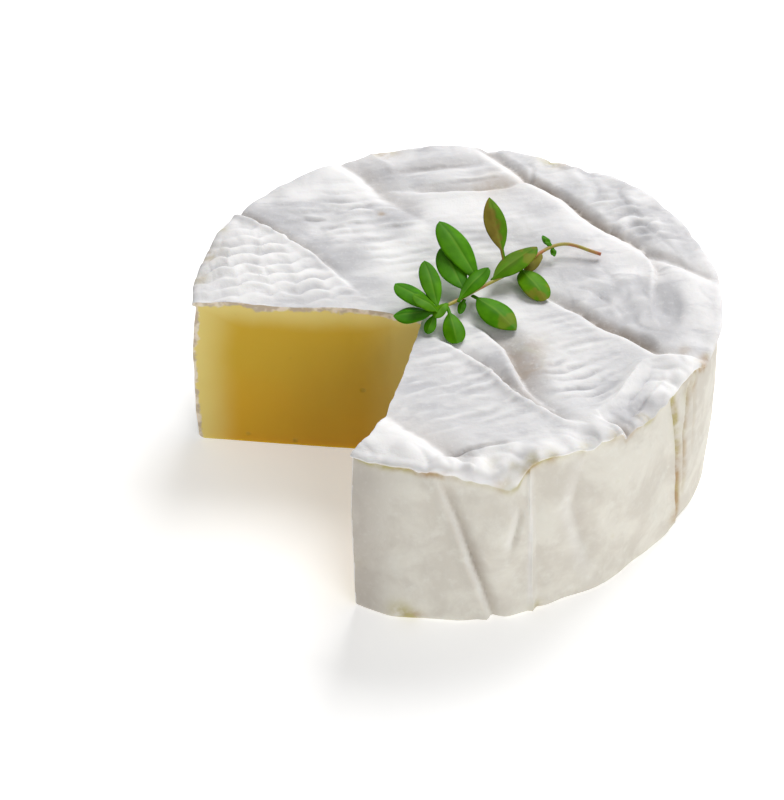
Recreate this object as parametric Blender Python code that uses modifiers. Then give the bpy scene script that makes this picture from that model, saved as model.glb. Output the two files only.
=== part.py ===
"""A small wheel of white-rind cheese with one wedge cut out, and a sprig of thyme lying on it.

The wheel stands on z = 0 with its axis on the world's Z axis. The sprig rests on its top.
Sizes and places are in millimetres, and MM turns them into Blender's metres.
"""
import math

import bmesh
import bpy
import numpy as np
from mathutils import Vector

MM = 0.001

# The wheel, as a round of cheese before it was cut. Its height is the flat of its top, which the relief rises above.
WHEEL_HEIGHT = 37.0
MEAN_RADIUS = 55.0
TOP_EDGE_ROUND = 1.7
LIP_TUCK = 0.7
BOTTOM_EDGE_ROUND = 1.4
BARREL = 0.5

# The rim, where the top rind folds over the side in a lip: direction in degrees, radius, and how far the lip's
# lower edge lies above the flat of the top
RIM = (
    (0, 55.5, -1.0), (20, 55.7, -0.8), (42, 56.2, -1.2), (62, 54.9, -0.6), (80, 55.1, -1.0), (102, 55.6, -1.4),
    (120, 54.6, -0.8), (135, 55.0, -1.2), (150, 55.7, -0.8), (165, 55.0, -1.0), (177, 55.0, -0.8),
    (200, 54.8, -1.2), (225, 54.5, -0.6), (245, 54.2, 0.6), (251, 54.3, 0.3), (258, 54.4, -0.5), (268, 54.7, -0.9),
    (272, 55.0, -2.2), (275, 55.4, -3.4), (278, 55.3, -4.6), (280, 55.0, -5.2), (281.5, 54.6, -4.4),
    (283, 54.3, -1.8), (284.5, 54.0, -0.2), (286, 53.9, 0.3),
    (295, 53.5, 0.6), (300, 53.7, -0.4), (307, 53.8, -1.2), (311, 53.5, -1.0), (315, 53.1, 0.4),
    (322, 52.8, 0.6), (330, 53.3, 0.5), (338, 54.2, 0.0), (348, 55.1, -0.8),
)

# How far out the side stands at its foot: direction and radius. The front has sagged.
FOOT = (
    (0, 54.2), (30, 55.0), (90, 55.5), (150, 55.2), (200, 55.5), (235, 56.6), (250, 57.9), (256, 58.7),
    (280, 58.5), (286, 57.4), (292, 56.6), (302, 56.3), (310, 55.3), (318, 54.8), (330, 55.0), (345, 54.6),
)

# The mesh of the wheel: squares across the top, in lines that run with its creases, and rows down the side.
# No bank of a crease is narrower than this mesh can carry.
TOP_SQUARES = 46
TOP_GRID_TURN = -46.0
EDGE_ROWS = 2
SIDE_ROWS = 8
NARROWEST_BANK = 2.3

# The wedge that was cut out: where each cut runs at the top of the wheel and at its foot, from the point outward
CUT_LEFT = (
    (-7.0, -8.2, -7.3, -8.0), (-13.6, -5.7, -13.6, -7.0), (-21, -4.4, -21, -6.3), (-28, -3.8, -28, -5.6),
    (-36, -3.6, -36, -4.8), (-43, -3.1, -43, -4.0), (-50, -2.7, -50, -3.2), (-70, -1.5, -70, -1.2),
)
CUT_FRONT = (
    (-7.0, -8.2, -7.3, -8.0), (-7.9, -12.3, -8.4, -11.5), (-10.3, -22.4, -11.3, -22.2), (-12.6, -30.2, -13.5, -29.8),
    (-14.8, -38.0, -15.6, -37.5), (-17.8, -45.4, -17.9, -45.6), (-20.9, -49.0, -19.4, -50.6),
    (-23.8, -55.0, -21.2, -56.5), (-29, -68, -25, -70),
)
CUT_OVERRUN = 6.0

# Creases of the rind on the top. Each point is x, y and the depth there. The bank left of a line's way is "far"
# wide, the bank right of it is "near" wide and has a crest beyond it, and "broad" is the width and the share of
# a wide dip on the far side. A line of negative depth is a ridge.
TOP_CREASES = (
    {"near": 1.1, "far": 2.4, "crest": 0.35, "broad": (8.0, 0.3),
     "points": ((-52, 35.5, 0.4), (-46.5, 29.8, 1.3), (-42.2, 25.9, 2.0), (-37.7, 21.7, 1.8), (-33.5, 18.2, 1.4),
                (-29.6, 14.2, 1.1), (-26, 9.8, 0.8), (-22.5, 5.0, 0.5), (-19.5, 0.6, 0.2))},
    {"near": 4.0, "far": 6.0, "crest": 0.1, "broad": (10.0, 0.3),
     "points": ((-28, 52, 0.3), (-22.6, 46.4, 1.0), (-19.4, 43.3, 1.2), (-17.3, 39.6, 1.2), (-15.2, 35.6, 1.1),
                (-11.2, 32.2, 1.0), (-8.4, 28.4, 0.7), (-5, 24, 0.3))},
    {"near": 3.0, "far": 1.6, "crest": 0.0,
     "points": ((-20.5, 53, -0.4), (-18.2, 50.6, -0.6), (-15.8, 48.0, -0.6), (-13.3, 45.4, -0.4), (-12, 44, -0.1))},
    {"near": 4.0, "far": 3.4, "crest": 0.0,
     "points": ((-18, 42.6, 0.5), (-10, 45.0, 0.9), (-2, 46.4, 1.0), (6, 47.6, 0.7))},
    {"near": 2.2, "far": 3.6, "crest": 0.2,
     "points": ((-11, 38.0, 0.4), (-7, 38.0, 0.9), (0, 38.2, 1.1), (6, 38.4, 1.2), (12, 39.6, 1.2), (16.5, 41.6, 0.8))},
    {"near": 3.6, "far": 2.1, "crest": 0.15, "broad": (8.0, 0.15),
     "points": ((4, 56.5, 0.6), (7.7, 52.9, 1.2), (11.8, 48.2, 1.6), (15.4, 44.2, 1.8), (18, 41.2, 2.0),
                (20.4, 38.9, 2.2), (25.4, 33.8, 2.3), (30.2, 27.7, 2.3), (34.3, 23.1, 2.1), (37.9, 19.4, 1.6),
                (40.8, 15.6, 1.3), (47.3, 11.7, 1.1), (51.5, 7.6, 1.0), (56, 4.6, 0.7))},
    {"near": 1.0, "far": 1.4, "crest": 0.2,
     "points": ((17.8, 41.4, 1.0), (17.9, 43.6, 0.8), (17.6, 46.2, 0.3))},
    {"near": 1.0, "far": 3.2, "crest": 0.1,
     "points": ((40.6, 15.8, 0.8), (41.6, 12.6, 1.1), (42.2, 9.6, 1.0), (41.6, 4, 0.6), (41.2, -2, 0.6),
                (41.4, -8, 0.3))},
    {"near": 3.2, "far": 2.6, "crest": 0.15, "broad": (10.0, 0.2),
     "points": ((8, 8, 0.2), (14, 4.0, 0.7), (20.7, -0.3, 1.3), (25.4, -4.2, 1.7), (29.6, -8.4, 2.2),
                (34.3, -11.7, 2.6), (38.5, -15.6, 2.5), (40.6, -18.0, 1.5), (44, -19.2, 1.0), (50, -19.4, 0.6))},
    {"near": 1.3, "far": 2.8, "crest": 0.45,
     "points": ((-5, -12.5, 0.2), (0, -17, 0.7), (4, -21.5, 1.2), (7.5, -25.5, 1.5), (12, -30.5, 1.6),
                (16, -34.8, 1.5), (20, -38.5, 1.0), (23, -40.8, 0.3))},
    {"near": 1.6, "far": 5.0, "crest": 0.3,
     "points": ((2.5, -8, 0.3), (5.8, -11, 1.0), (9.8, -17.5, 1.8), (12.4, -24, 2.0), (14, -29, 1.5),
                (17, -34, 0.7))},
    {"near": 3.4, "far": 6.0, "crest": 0.35,
     "points": ((-17, -35, 0.6), (-15.4, -36.6, 0.8), (-10, -41.8, 1.2), (-5, -46.4, 1.3), (-2, -49.3, 1.2))},
    {"near": 0.9, "far": 0.8, "crest": 0.3,
     "points": ((-2.6, -49.8, 0.9), (0, -48.2, 1.1), (3, -47.1, 1.1), (7, -46.2, 0.9), (10.5, -46, 0.3))},
    {"near": 2.6, "far": 3.4, "crest": 0.0,
     "points": ((22, -41.5, -0.5), (27, -38.2, -1.0), (31, -33.2, -1.1), (34, -28, -1.1), (37, -23.8, -1.1),
                (39, -22.2, -0.7), (44, -21.8, -0.5), (49, -21.6, -0.3))},
    {"near": 1.4, "far": 1.8, "crest": 0.2,
     "points": ((28.3, -39.4, 0.4), (30.6, -41.2, 1.4), (33.4, -43.6, 1.6), (36, -46, 0.9))},
)

# Low and raised ground on the top: x, y, half-widths along and across, turn in degrees, height
TOP_GROUND = (
    (24, -26, 11, 6, -55, -0.8),
    (44, -1.4, 3.2, 2.4, -60, -0.8),
    (-42, 10, 12, 9, -70, 0.7),
    (22, 20, 15, 7, -45, 0.5),
    (2, 22, 12, 12, 0, 0.5),
    (38, 34, 12, 6, -45, 0.5),
    (36, -1, 9, 7, -42, 0.3),
)

# Bulges and dents of the rim: x, y, half-width, height
RIM_LUMPS = (
    (-18, -46, 4.5, 1.0), (-10.5, -50, 4.0, 0.9), (-4, -52, 3.0, 0.8), (5.6, -51, 2.2, -1.5), (7.2, -55, 2.4, -1.8),
    (1.5, -54.5, 2.2, 0.5), (14.5, -49, 3.2, 1.2), (20.5, -46.5, 3.0, 1.2), (26.5, -44, 2.6, 1.1),
    (37, -35, 4.0, 0.8), (44.5, -24, 4.0, 1.8), (49.5, -14, 3.0, -0.6), (52, -4, 3.5, 0.5), (52, 12, 3.5, 0.5),
    (38, 38, 4.0, 0.5), (23, 48, 2.4, -0.7), (-12, 51, 4.0, -0.6), (-33, 41, 6.0, 0.4), (-51, 20, 4.0, 0.7),
    (-53, 6, 3.0, -0.6),
)

# Folds of the rind down the side, from the top to the foot: direction round the wheel, height, depth
SIDE_FOLDS = (
    {"near": 1.1, "far": 3.2, "crest": 0.4,
     "points": ((265, 36, 0.2), (267, 31, 1.0), (269.5, 25, 1.3), (272, 17, 1.7), (274.5, 9, 1.5), (277, 0, 1.1))},
    {"near": 2.4, "far": 1.0, "crest": 0.2,
     "points": ((281.6, 29, 0.1), (282.2, 25, 0.9), (281, 20, 1.0), (279.6, 16, 0.1))},
    {"near": 0.8, "far": 0.8, "crest": 0.0,
     "points": ((284.0, 35, -0.45), (284.3, 20, -0.5), (284.8, 0, -0.45))},
    {"near": 0.6, "far": 2.4, "crest": 0.0,
     "points": ((285.3, 34, 0.35), (285.6, 20, 0.35), (286, 0, 0.4))},
    {"near": 4.0, "far": 4.6, "crest": 0.2,
     "points": ((296, 32, 0.4), (294, 24, 0.9), (296.5, 14, 0.8), (299.5, 5, 0.3))},
    {"near": 1.0, "far": 1.8, "crest": 0.45,
     "points": ((323.8, 35, 0.5), (324.0, 27, 1.3), (324.3, 20, 1.5), (325.0, 11, 1.2), (326.4, 3, 0.8))},
    {"near": 0.7, "far": 1.0, "crest": 0.3,
     "points": ((327.2, 29, 0.2), (327.9, 18, 0.9), (328.4, 8, 0.3))},
    {"near": 0.9, "far": 1.4, "crest": 0.3,
     "points": ((330.4, 34, 0.5), (330.0, 26, 0.8), (329.6, 17, 0.2))},
    {"near": 3.0, "far": 4.0, "crest": 0.3,
     "points": ((21, 32, 0.4), (24, 18, 0.9), (18, 4, 0.3))},
    {"near": 1.4, "far": 3.4, "crest": 0.3,
     "points": ((57, 31, 0.5), (60, 14, 1.1), (63, 0, 0.7))},
    {"near": 2.6, "far": 4.6, "crest": 0.3,
     "points": ((103, 32, 0.5), (99, 18, 0.9), (104, 5, 0.3))},
    {"near": 1.4, "far": 3.4, "crest": 0.3,
     "points": ((140, 33, 0.6), (138, 16, 1.2), (141, 0, 0.8))},
)

# The sprig: its stem as x, y and height above the wheel's top, from the cut end to the tip
STEM_RADIUS = 0.6
STEM_SIDES_RESOLUTION = 1
STEM_ROUTE = (
    (30.9, 12.5, 1.3), (28.6, 12.9, 1.9), (26.0, 13.8, 2.5), (23.3, 14.2, 2.9), (20.5, 13.2, 2.9),
    (17.9, 11.2, 2.7), (14.4, 7.6, 2.5), (10.6, 4.0, 2.4), (7.0, 1.2, 2.4), (3.6, -1.8, 2.5), (0.0, -5.2, 2.7),
    (-2.5, -7.4, 3.0), (-4.6, -9.4, 3.3),
)

# Its leaves: where each joins the stem, its tip, its width, how far it bows up in the middle, how full its
# outline is (1 is an oval, 2 comes to a point at both ends), where along it is widest, and how long its stalk is.
# Heights are above the wheel's top. A leaf whose tip height is None lies down on the rind.
LEAF_THICKNESS = 0.6
LEAF_STALK_WIDTH = 1.0
LEAF_FOLD = 0.20
LEAF_SQUARES_ACROSS = 4
LEAF_SQUARES_ALONG = 6
LEAVES = (
    {"base": (10.6, 4.6, 2.6), "tip": (6.6, 19.6, 11.0), "width": 4.9, "bow": 0.6, "point": 1.9, "widest": 0.46,
     "stalk": 0.16},
    {"base": (5.0, -0.2, 2.6), "tip": (-3.4, 12.8, 9.6), "width": 6.4, "bow": 0.9, "point": 1.6, "widest": 0.56,
     "stalk": 0.06},
    {"base": (0.8, -4.0, 2.8), "tip": (-4.1, 9.2, 5.4), "width": 6.0, "bow": 0.6, "point": 1.6, "widest": 0.52,
     "stalk": 0.1},
    {"base": (-3.9, -8.6, 3.1), "tip": (-6.6, 3.9, 6.0), "width": 4.4, "bow": 0.8, "point": 1.5, "widest": 0.56,
     "stalk": 0.06},
    {"base": (-4.4, -9.2, 3.2), "tip": (-12.7, -2.6, 5.0), "width": 4.9, "bow": 0.6, "point": 1.5, "widest": 0.58,
     "stalk": 0.06},
    {"base": (-4.2, -9.8, 3.6), "tip": (-9.4, -7.6, 6.6), "width": 3.7, "bow": 0.5, "point": 1.4, "widest": 0.54,
     "stalk": 0.06},
    {"base": (-4.6, -9.9, 3.2), "tip": (-13.0, -10.2, 2.6), "width": 4.9, "bow": 0.5, "point": 1.5, "widest": 0.54,
     "stalk": 0.08},
    {"base": (-4.4, -9.8, 3.1), "tip": (-6.2, -13.6, None), "width": 2.4, "bow": 0.3, "point": 1.4, "widest": 0.58,
     "stalk": 0.1},
    {"base": (-2.0, -7.6, 2.9), "tip": (0.2, -16.2, None), "width": 4.7, "bow": 0.8, "point": 1.3, "widest": 0.6,
     "stalk": 0.16},
    {"base": (3.2, -2.9, 2.3), "tip": (12.0, -10.8, None), "width": 6.7, "bow": 1.0, "point": 1.7, "widest": 0.48,
     "stalk": 0.18},
    {"base": (0.2, -5.8, 2.9), "tip": (6.5, 1.2, 5.4), "width": 3.7, "bow": 0.6, "point": 1.4, "widest": 0.6,
     "stalk": 0.06},
    {"base": (1.6, -4.4, 2.4), "tip": (0.6, -7.2, None), "width": 1.7, "bow": 0.3, "point": 1.5, "widest": 0.5,
     "stalk": 0.1},
    {"base": (7.4, 1.8, 2.6), "tip": (16.6, 9.9, 5.0), "width": 5.4, "bow": 0.9, "point": 1.6, "widest": 0.52,
     "stalk": 0.05},
    {"base": (18.3, 11.6, 2.6), "tip": (14.6, 5.6, 1.5), "width": 2.7, "bow": 0.3, "point": 1.2, "widest": 0.45,
     "stalk": 0.08},
    {"base": (13.2, 5.9, 2.2), "tip": (18.2, -1.9, None), "width": 6.1, "bow": 0.9, "point": 1.1, "widest": 0.5,
     "stalk": 0.05},
    {"base": (20.2, 13.0, 2.9), "tip": (18.5, 15.4, 4.0), "width": 1.5, "bow": 0.2, "point": 1.5, "widest": 0.5,
     "stalk": 0.1},
    {"base": (20.4, 13.1, 3.1), "tip": (19.0, 13.6, 3.9), "width": 1.3, "bow": 0.1, "point": 1.3, "widest": 0.5,
     "stalk": 0.1},
    {"base": (20.5, 13.1, 2.7), "tip": (21.0, 11.2, 1.7), "width": 1.2, "bow": 0.1, "point": 1.5, "widest": 0.5,
     "stalk": 0.1},
    {"base": (-2.0, -7.0, 3.4), "tip": (-4.6, -11.2, 3.0), "width": 2.6, "bow": 0.6, "point": 1.4, "widest": 0.55,
     "stalk": 0.05},
)
RESTING_GAP = 0.35

# Finishes as colour, roughness and metallic value
RIND_FINISH = ((0.86, 0.85, 0.84, 1.0), 0.75, 0.0)
LEAF_FINISH = ((0.10, 0.26, 0.04, 1.0), 0.45, 0.0)


def clear_scene():
    for item in list(bpy.data.objects):
        bpy.data.objects.remove(item, do_unlink=True)


def new_collection(name):
    collection = bpy.data.collections.new(name)
    bpy.context.scene.collection.children.link(collection)
    return collection


def finish(item, name, values):
    colour, roughness, metallic = values
    material = bpy.data.materials.new(name)
    material.use_nodes = True
    shader = material.node_tree.nodes["Principled BSDF"]
    shader.inputs["Base Color"].default_value = colour
    shader.inputs["Roughness"].default_value = roughness
    shader.inputs["Metallic"].default_value = metallic
    item.data.materials.clear()
    item.data.materials.append(material)


def smooth(value):
    """Ease from 0 to 1 over the same range."""
    value = np.clip(value, 0.0, 1.0)
    return value * value * (3.0 - 2.0 * value)


def along_line(points, x, y):
    """For arrays x and y: signed distance to a line of points, left of its way positive, and its depth."""
    nearest = np.full(x.shape, 1.0e6)
    side = np.ones(x.shape)
    depth = np.zeros(x.shape)
    for (ax, ay, a_depth), (bx, by, b_depth) in zip(points, points[1:]):
        run_x = bx - ax
        run_y = by - ay
        part = np.clip(((x - ax) * run_x + (y - ay) * run_y) / (run_x ** 2 + run_y ** 2), 0.0, 1.0)
        off_x = x - ax - part * run_x
        off_y = y - ay - part * run_y
        distance = np.hypot(off_x, off_y)
        closer = distance < nearest
        nearest = np.where(closer, distance, nearest)
        side = np.where(closer, np.sign(run_x * off_y - run_y * off_x + 1.0e-9), side)
        depth = np.where(closer, a_depth + (b_depth - a_depth) * part, depth)
    return nearest * side, depth


def crease_height(crease, x, y):
    """Height of a crease: a fold line between two banks, with a crest beyond the near one."""
    offset, depth = along_line(crease["points"], x, y)
    away = np.abs(offset)
    near_width = max(crease["near"], NARROWEST_BANK)
    far_width = max(crease["far"], NARROWEST_BANK)
    width, share = crease.get("broad", (1.0, 0.0))
    near = np.clip(1.0 - away / near_width, 0.0, 1.0) ** 2
    far = (1.0 - share) * np.clip(1.0 - away / far_width, 0.0, 1.0) ** 1.5 + share * np.exp(-(away / width) ** 2)
    crest = smooth(away / near_width) * np.exp(-(np.maximum(away / near_width - 1.0, 0.0) / 1.1) ** 2)
    return depth * np.where(offset > 0.0, -far, crease["crest"] * crest - near)


def spread(grounds, x, y):
    """Each ground's share at the points, full in its middle and fading out past its half-widths."""
    for cx, cy, half_length, half_width, turn, amount in grounds:
        turn = math.radians(turn)
        run = ((x - cx) * math.cos(turn) + (y - cy) * math.sin(turn)) / half_length
        off = ((y - cy) * math.cos(turn) - (x - cx) * math.sin(turn)) / half_width
        yield amount * np.exp(-(run * run + off * off) ** 1.5)


def top_relief(x, y):
    """Height of the rind above the flat top of the wheel."""
    radius = np.hypot(x, y)
    height = 0.5 * smooth((radius - 38.0) / 9.0) - 0.4 * smooth((radius - 49.0) / 6.0)
    for crease in TOP_CREASES:
        height = height + crease_height(crease, x, y)
    height = height + sum(spread(TOP_GROUND, x, y))
    for cx, cy, half_width, rise in RIM_LUMPS:
        height = height + rise * np.exp(-((x - cx) ** 2 + (y - cy) ** 2) / half_width ** 2)
    return height


def round_table(table, angle):
    """The numbers that a table gives at a direction, in degrees."""
    directions, *columns = zip(*table)
    return [np.interp(angle, directions, column, period=360.0) for column in columns]


def side_radius(angle, height):
    """Radius of the wheel's side at a direction in degrees and a height."""
    level = np.clip(height / WHEEL_HEIGHT, 0.0, 1.0)
    rim, _ = round_table(RIM, angle)
    foot, = round_table(FOOT, angle)
    radians = np.radians(angle)
    radius = foot + (rim - LIP_TUCK - foot) * level ** 1.3 + BARREL * np.sin(math.pi * level)
    for fold in SIDE_FOLDS:
        points = [(math.radians(a) * MEAN_RADIUS, z, depth) for a, z, depth in fold["points"]]
        radius = radius + crease_height({**fold, "points": points}, radians * MEAN_RADIUS, height)
    return radius


def rings_below(angle, high):
    """Rings of points down from the top's edge, as radius and height at each direction."""
    rim, lip = round_table(RIM, angle)
    low = np.minimum(WHEEL_HEIGHT + lip, high - 1.4)
    widest = low + 0.4 * (high - low)
    shoulder = rim - TOP_EDGE_ROUND
    rings = []
    for turn in (0.5 * math.pi * step / EDGE_ROWS for step in range(1, EDGE_ROWS + 1)):
        rings.append((shoulder + TOP_EDGE_ROUND * math.sin(turn), widest + (high - widest) * math.cos(turn)))
    for part in (step / SIDE_ROWS for step in range(SIDE_ROWS + 1)):
        height = low + (BOTTOM_EDGE_ROUND - low) * part ** 1.2
        rings.append((side_radius(angle, height), height))
    foot = side_radius(angle, np.full_like(angle, BOTTOM_EDGE_ROUND))
    for turn in (math.radians(45.0), math.radians(90.0)):
        rings.append((foot - BOTTOM_EDGE_ROUND * (1.0 - math.cos(turn)),
                      np.full_like(angle, BOTTOM_EDGE_ROUND * (1.0 - math.sin(turn)))))
    return rings


def round_off_square(x, y):
    """Spread a square of half-side 1 over a disc of radius 1, turned so that its lines run with the creases."""
    spread_x = x * np.sqrt(1.0 - 0.5 * y * y)
    spread_y = y * np.sqrt(1.0 - 0.5 * x * x)
    turn = math.radians(TOP_GRID_TURN)
    return (spread_x * math.cos(turn) - spread_y * math.sin(turn),
            spread_x * math.sin(turn) + spread_y * math.cos(turn))


def wheel_mesh():
    """The whole round: a square grid spread over the top, its edge drawn down in rings, and a flat base."""
    count = TOP_SQUARES + 1
    line = np.linspace(-1.0, 1.0, count)
    across, deep = round_off_square(*(grid.ravel() for grid in np.meshgrid(line, line)))
    corner = np.arange(count * count).reshape(count, count)
    faces = [np.stack([corner[:-1, :-1], corner[:-1, 1:], corner[1:, 1:], corner[1:, :-1]], axis=-1).reshape(-1, 4)]
    edge = np.concatenate([corner[0, :-1], corner[:-1, -1], corner[-1, :0:-1], corner[:0:-1, 0]])
    angle = np.degrees(np.arctan2(deep, across)) % 360.0
    rim, _ = round_table(RIM, angle)
    radius = np.hypot(across, deep) * (rim - TOP_EDGE_ROUND)
    x = radius * np.cos(np.radians(angle))
    y = radius * np.sin(np.radians(angle))
    z = WHEEL_HEIGHT + top_relief(x, y)
    places = [np.stack([x, y, z], axis=-1)]
    way = np.radians(angle[edge])
    above = edge
    for number, (ring, height) in enumerate(rings_below(angle[edge], z[edge])):
        places.append(np.stack([ring * np.cos(way), ring * np.sin(way), height], axis=-1))
        below = len(x) + number * len(edge) + np.arange(len(edge))
        faces.append(np.stack([above, below, np.roll(below, -1), np.roll(above, -1)], axis=-1))
        above = below
    mesh = bpy.data.meshes.new("cheese_wheel")
    mesh.from_pydata([tuple(place) for place in np.concatenate(places) * MM], [],
                     [*np.concatenate(faces).tolist(), above[::-1].tolist()])
    shell = bmesh.new()
    shell.from_mesh(mesh)
    bmesh.ops.triangulate(shell, faces=[face for face in shell.faces if len(face.verts) == 4])
    bmesh.ops.recalc_face_normals(shell, faces=shell.faces)
    shell.to_mesh(mesh)
    shell.free()
    return mesh


def wedge_cutter(collection):
    """A tall wedge, wider than the wheel, that takes the missing piece out along its two cuts."""
    outline = [*CUT_LEFT, (-75.0, -75.0, -75.0, -75.0), *CUT_FRONT[:0:-1]]
    block = bmesh.new()
    rings = []
    for level in (-CUT_OVERRUN, WHEEL_HEIGHT + CUT_OVERRUN):
        rise = level / WHEEL_HEIGHT
        rings.append([block.verts.new(Vector((foot_x + (top_x - foot_x) * rise, foot_y + (top_y - foot_y) * rise,
                                              level)) * MM)
                      for top_x, top_y, foot_x, foot_y in outline])
    for one, two, three, four in zip(rings[0], rings[0][1:] + rings[0][:1], rings[1][1:] + rings[1][:1], rings[1]):
        block.faces.new((one, two, three, four))
    for ring in rings:
        block.faces.new(ring)
    bmesh.ops.triangulate(block, faces=block.faces)
    bmesh.ops.recalc_face_normals(block, faces=block.faces)
    mesh = bpy.data.meshes.new("wedge_cutter")
    block.to_mesh(mesh)
    block.free()
    cutter = bpy.data.objects.new("wedge_cutter", mesh)
    cutter.hide_render = True
    cutter.display_type = "WIRE"
    collection.objects.link(cutter)
    return cutter


def make_wheel(parts, cutters):
    wheel = bpy.data.objects.new("cheese_wheel", wheel_mesh())
    parts.objects.link(wheel)
    finish(wheel, "white_rind", RIND_FINISH)
    cut = wheel.modifiers.new("missing wedge", "BOOLEAN")
    cut.operation = "DIFFERENCE"
    cut.object = wedge_cutter(cutters)
    wheel.data.shade_smooth()
    return wheel


def rind_level(x, y):
    """Height of the rind's surface at one point of the top."""
    return WHEEL_HEIGHT + float(top_relief(np.array([x], dtype=float), np.array([y], dtype=float))[0])


def stem_object(collection):
    curve = bpy.data.curves.new("stem", "CURVE")
    curve.dimensions = "3D"
    curve.bevel_depth = STEM_RADIUS * MM
    curve.bevel_resolution = STEM_SIDES_RESOLUTION
    curve.use_fill_caps = True
    line = curve.splines.new("POLY")
    line.points.add(len(STEM_ROUTE) - 1)
    for point, (x, y, lift) in zip(line.points, STEM_ROUTE):
        point.co = (x * MM, y * MM, (WHEEL_HEIGHT + lift) * MM, 1.0)
    guide = bpy.data.objects.new("stem_guide", curve)
    collection.objects.link(guide)
    bpy.context.view_layer.update()
    mesh = bpy.data.meshes.new_from_object(guide.evaluated_get(bpy.context.evaluated_depsgraph_get()))
    tube = bmesh.new()
    tube.from_mesh(mesh)
    bmesh.ops.remove_doubles(tube, verts=tube.verts, dist=0.01 * MM)
    bmesh.ops.recalc_face_normals(tube, faces=tube.faces)
    tube.to_mesh(mesh)
    tube.free()
    stem = bpy.data.objects.new("stem", mesh)
    stem.matrix_world = guide.matrix_world
    bpy.data.objects.remove(guide, do_unlink=True)
    bpy.data.curves.remove(curve)
    return stem


def leaf_object(number, leaf, collection):
    """One leaf: a grid drawn to a leaf's outline along its bowed midrib, turned down at its edges and thickened."""
    base = Vector((*leaf["base"][:2], WHEEL_HEIGHT + leaf["base"][2]))
    tip_x, tip_y, tip_lift = leaf["tip"]
    if tip_lift is None:
        tip_z = rind_level(tip_x, tip_y) + RESTING_GAP + 0.5 * LEAF_THICKNESS
    else:
        tip_z = WHEEL_HEIGHT + tip_lift
    run = Vector((tip_x, tip_y, tip_z)) - base
    sideways = run.cross(Vector((0.0, 0.0, 1.0))).normalized()
    upward = sideways.cross(run).normalized()
    sheet = bmesh.new()
    bmesh.ops.create_grid(sheet, x_segments=LEAF_SQUARES_ALONG, y_segments=LEAF_SQUARES_ACROSS, size=0.5)
    for vert in sheet.verts:
        along = vert.co.x + 0.5
        across = 2.0 * vert.co.y
        part = max(0.0, (along - leaf["stalk"]) / (1.0 - leaf["stalk"]))
        rise = (part / leaf["widest"]) ** (leaf["point"] * leaf["widest"])
        fall = ((1.0 - part) / (1.0 - leaf["widest"])) ** (leaf["point"] * (1.0 - leaf["widest"]))
        blade = rise * fall
        stalk = LEAF_STALK_WIDTH * max(0.0, 1.0 - 2.0 * along) + 0.25 * LEAF_STALK_WIDTH
        width = max(leaf["width"] * blade, stalk)
        fold = LEAF_FOLD * width * abs(across) ** 1.5
        wave = 0.12 * blade * math.sin(9.0 * along + 2.0 * across + number)
        lift = leaf["bow"] * math.sin(math.pi * along) - fold + wave
        vert.co = base + run * along + sideways * (0.5 * width * across) + upward * lift
    bmesh.ops.triangulate(sheet, faces=sheet.faces)
    for vert in sheet.verts:
        vert.co *= MM
    bmesh.ops.recalc_face_normals(sheet, faces=sheet.faces)
    mesh = bpy.data.meshes.new("leaf")
    sheet.to_mesh(mesh)
    sheet.free()
    item = bpy.data.objects.new("leaf_%02d" % number, mesh)
    collection.objects.link(item)
    shell = item.modifiers.new("thickness", "SOLIDIFY")
    shell.thickness = LEAF_THICKNESS * MM
    shell.offset = 0.0
    return item


def settle(item):
    """Lower the sprig until its lowest place is the resting gap above the rind."""
    mesh = item.data
    places = np.empty(3 * len(mesh.vertices))
    mesh.vertices.foreach_get("co", places)
    places = places.reshape(-1, 3) / MM
    gaps = places[:, 2] - WHEEL_HEIGHT - top_relief(places[:, 0], places[:, 1])
    places[:, 2] -= gaps.min() - RESTING_GAP
    mesh.vertices.foreach_set("co", (places * MM).ravel())
    mesh.update()


def make_sprig(parts):
    """The stem and its leaves, joined into one solid."""
    pieces = new_collection("sprig_pieces")
    sprig = stem_object(pieces)
    sprig.name = "thyme_sprig"
    parts.objects.link(sprig)
    for number, leaf in enumerate(LEAVES):
        leaf_object(number, leaf, pieces)
    join = sprig.modifiers.new("leaves", "BOOLEAN")
    join.operation = "UNION"
    join.operand_type = "COLLECTION"
    join.collection = pieces
    join.solver = "MANIFOLD"
    bpy.context.view_layer.update()
    joined = bpy.data.meshes.new_from_object(sprig.evaluated_get(bpy.context.evaluated_depsgraph_get()))
    sprig.modifiers.remove(join)
    sprig.data = joined
    for item in list(pieces.objects):
        bpy.data.objects.remove(item, do_unlink=True)
    bpy.data.collections.remove(pieces)
    settle(sprig)
    finish(sprig, "thyme_leaf", LEAF_FINISH)
    sprig.data.shade_smooth()
    return sprig


def main():
    clear_scene()
    parts = new_collection("cut_cheese")
    cutters = new_collection("cutters")
    make_wheel(parts, cutters)
    make_sprig(parts)


main()
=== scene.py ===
"""Looks of a cut wheel of white-rind cheese with a sprig of thyme lying on it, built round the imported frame.

Shapes are worked out in millimetres on the wheel's own axis, and MM turns them into Blender's metres.
"""
import math

import bmesh
import bpy
import numpy as np
from mathutils import Matrix, Vector


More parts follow.
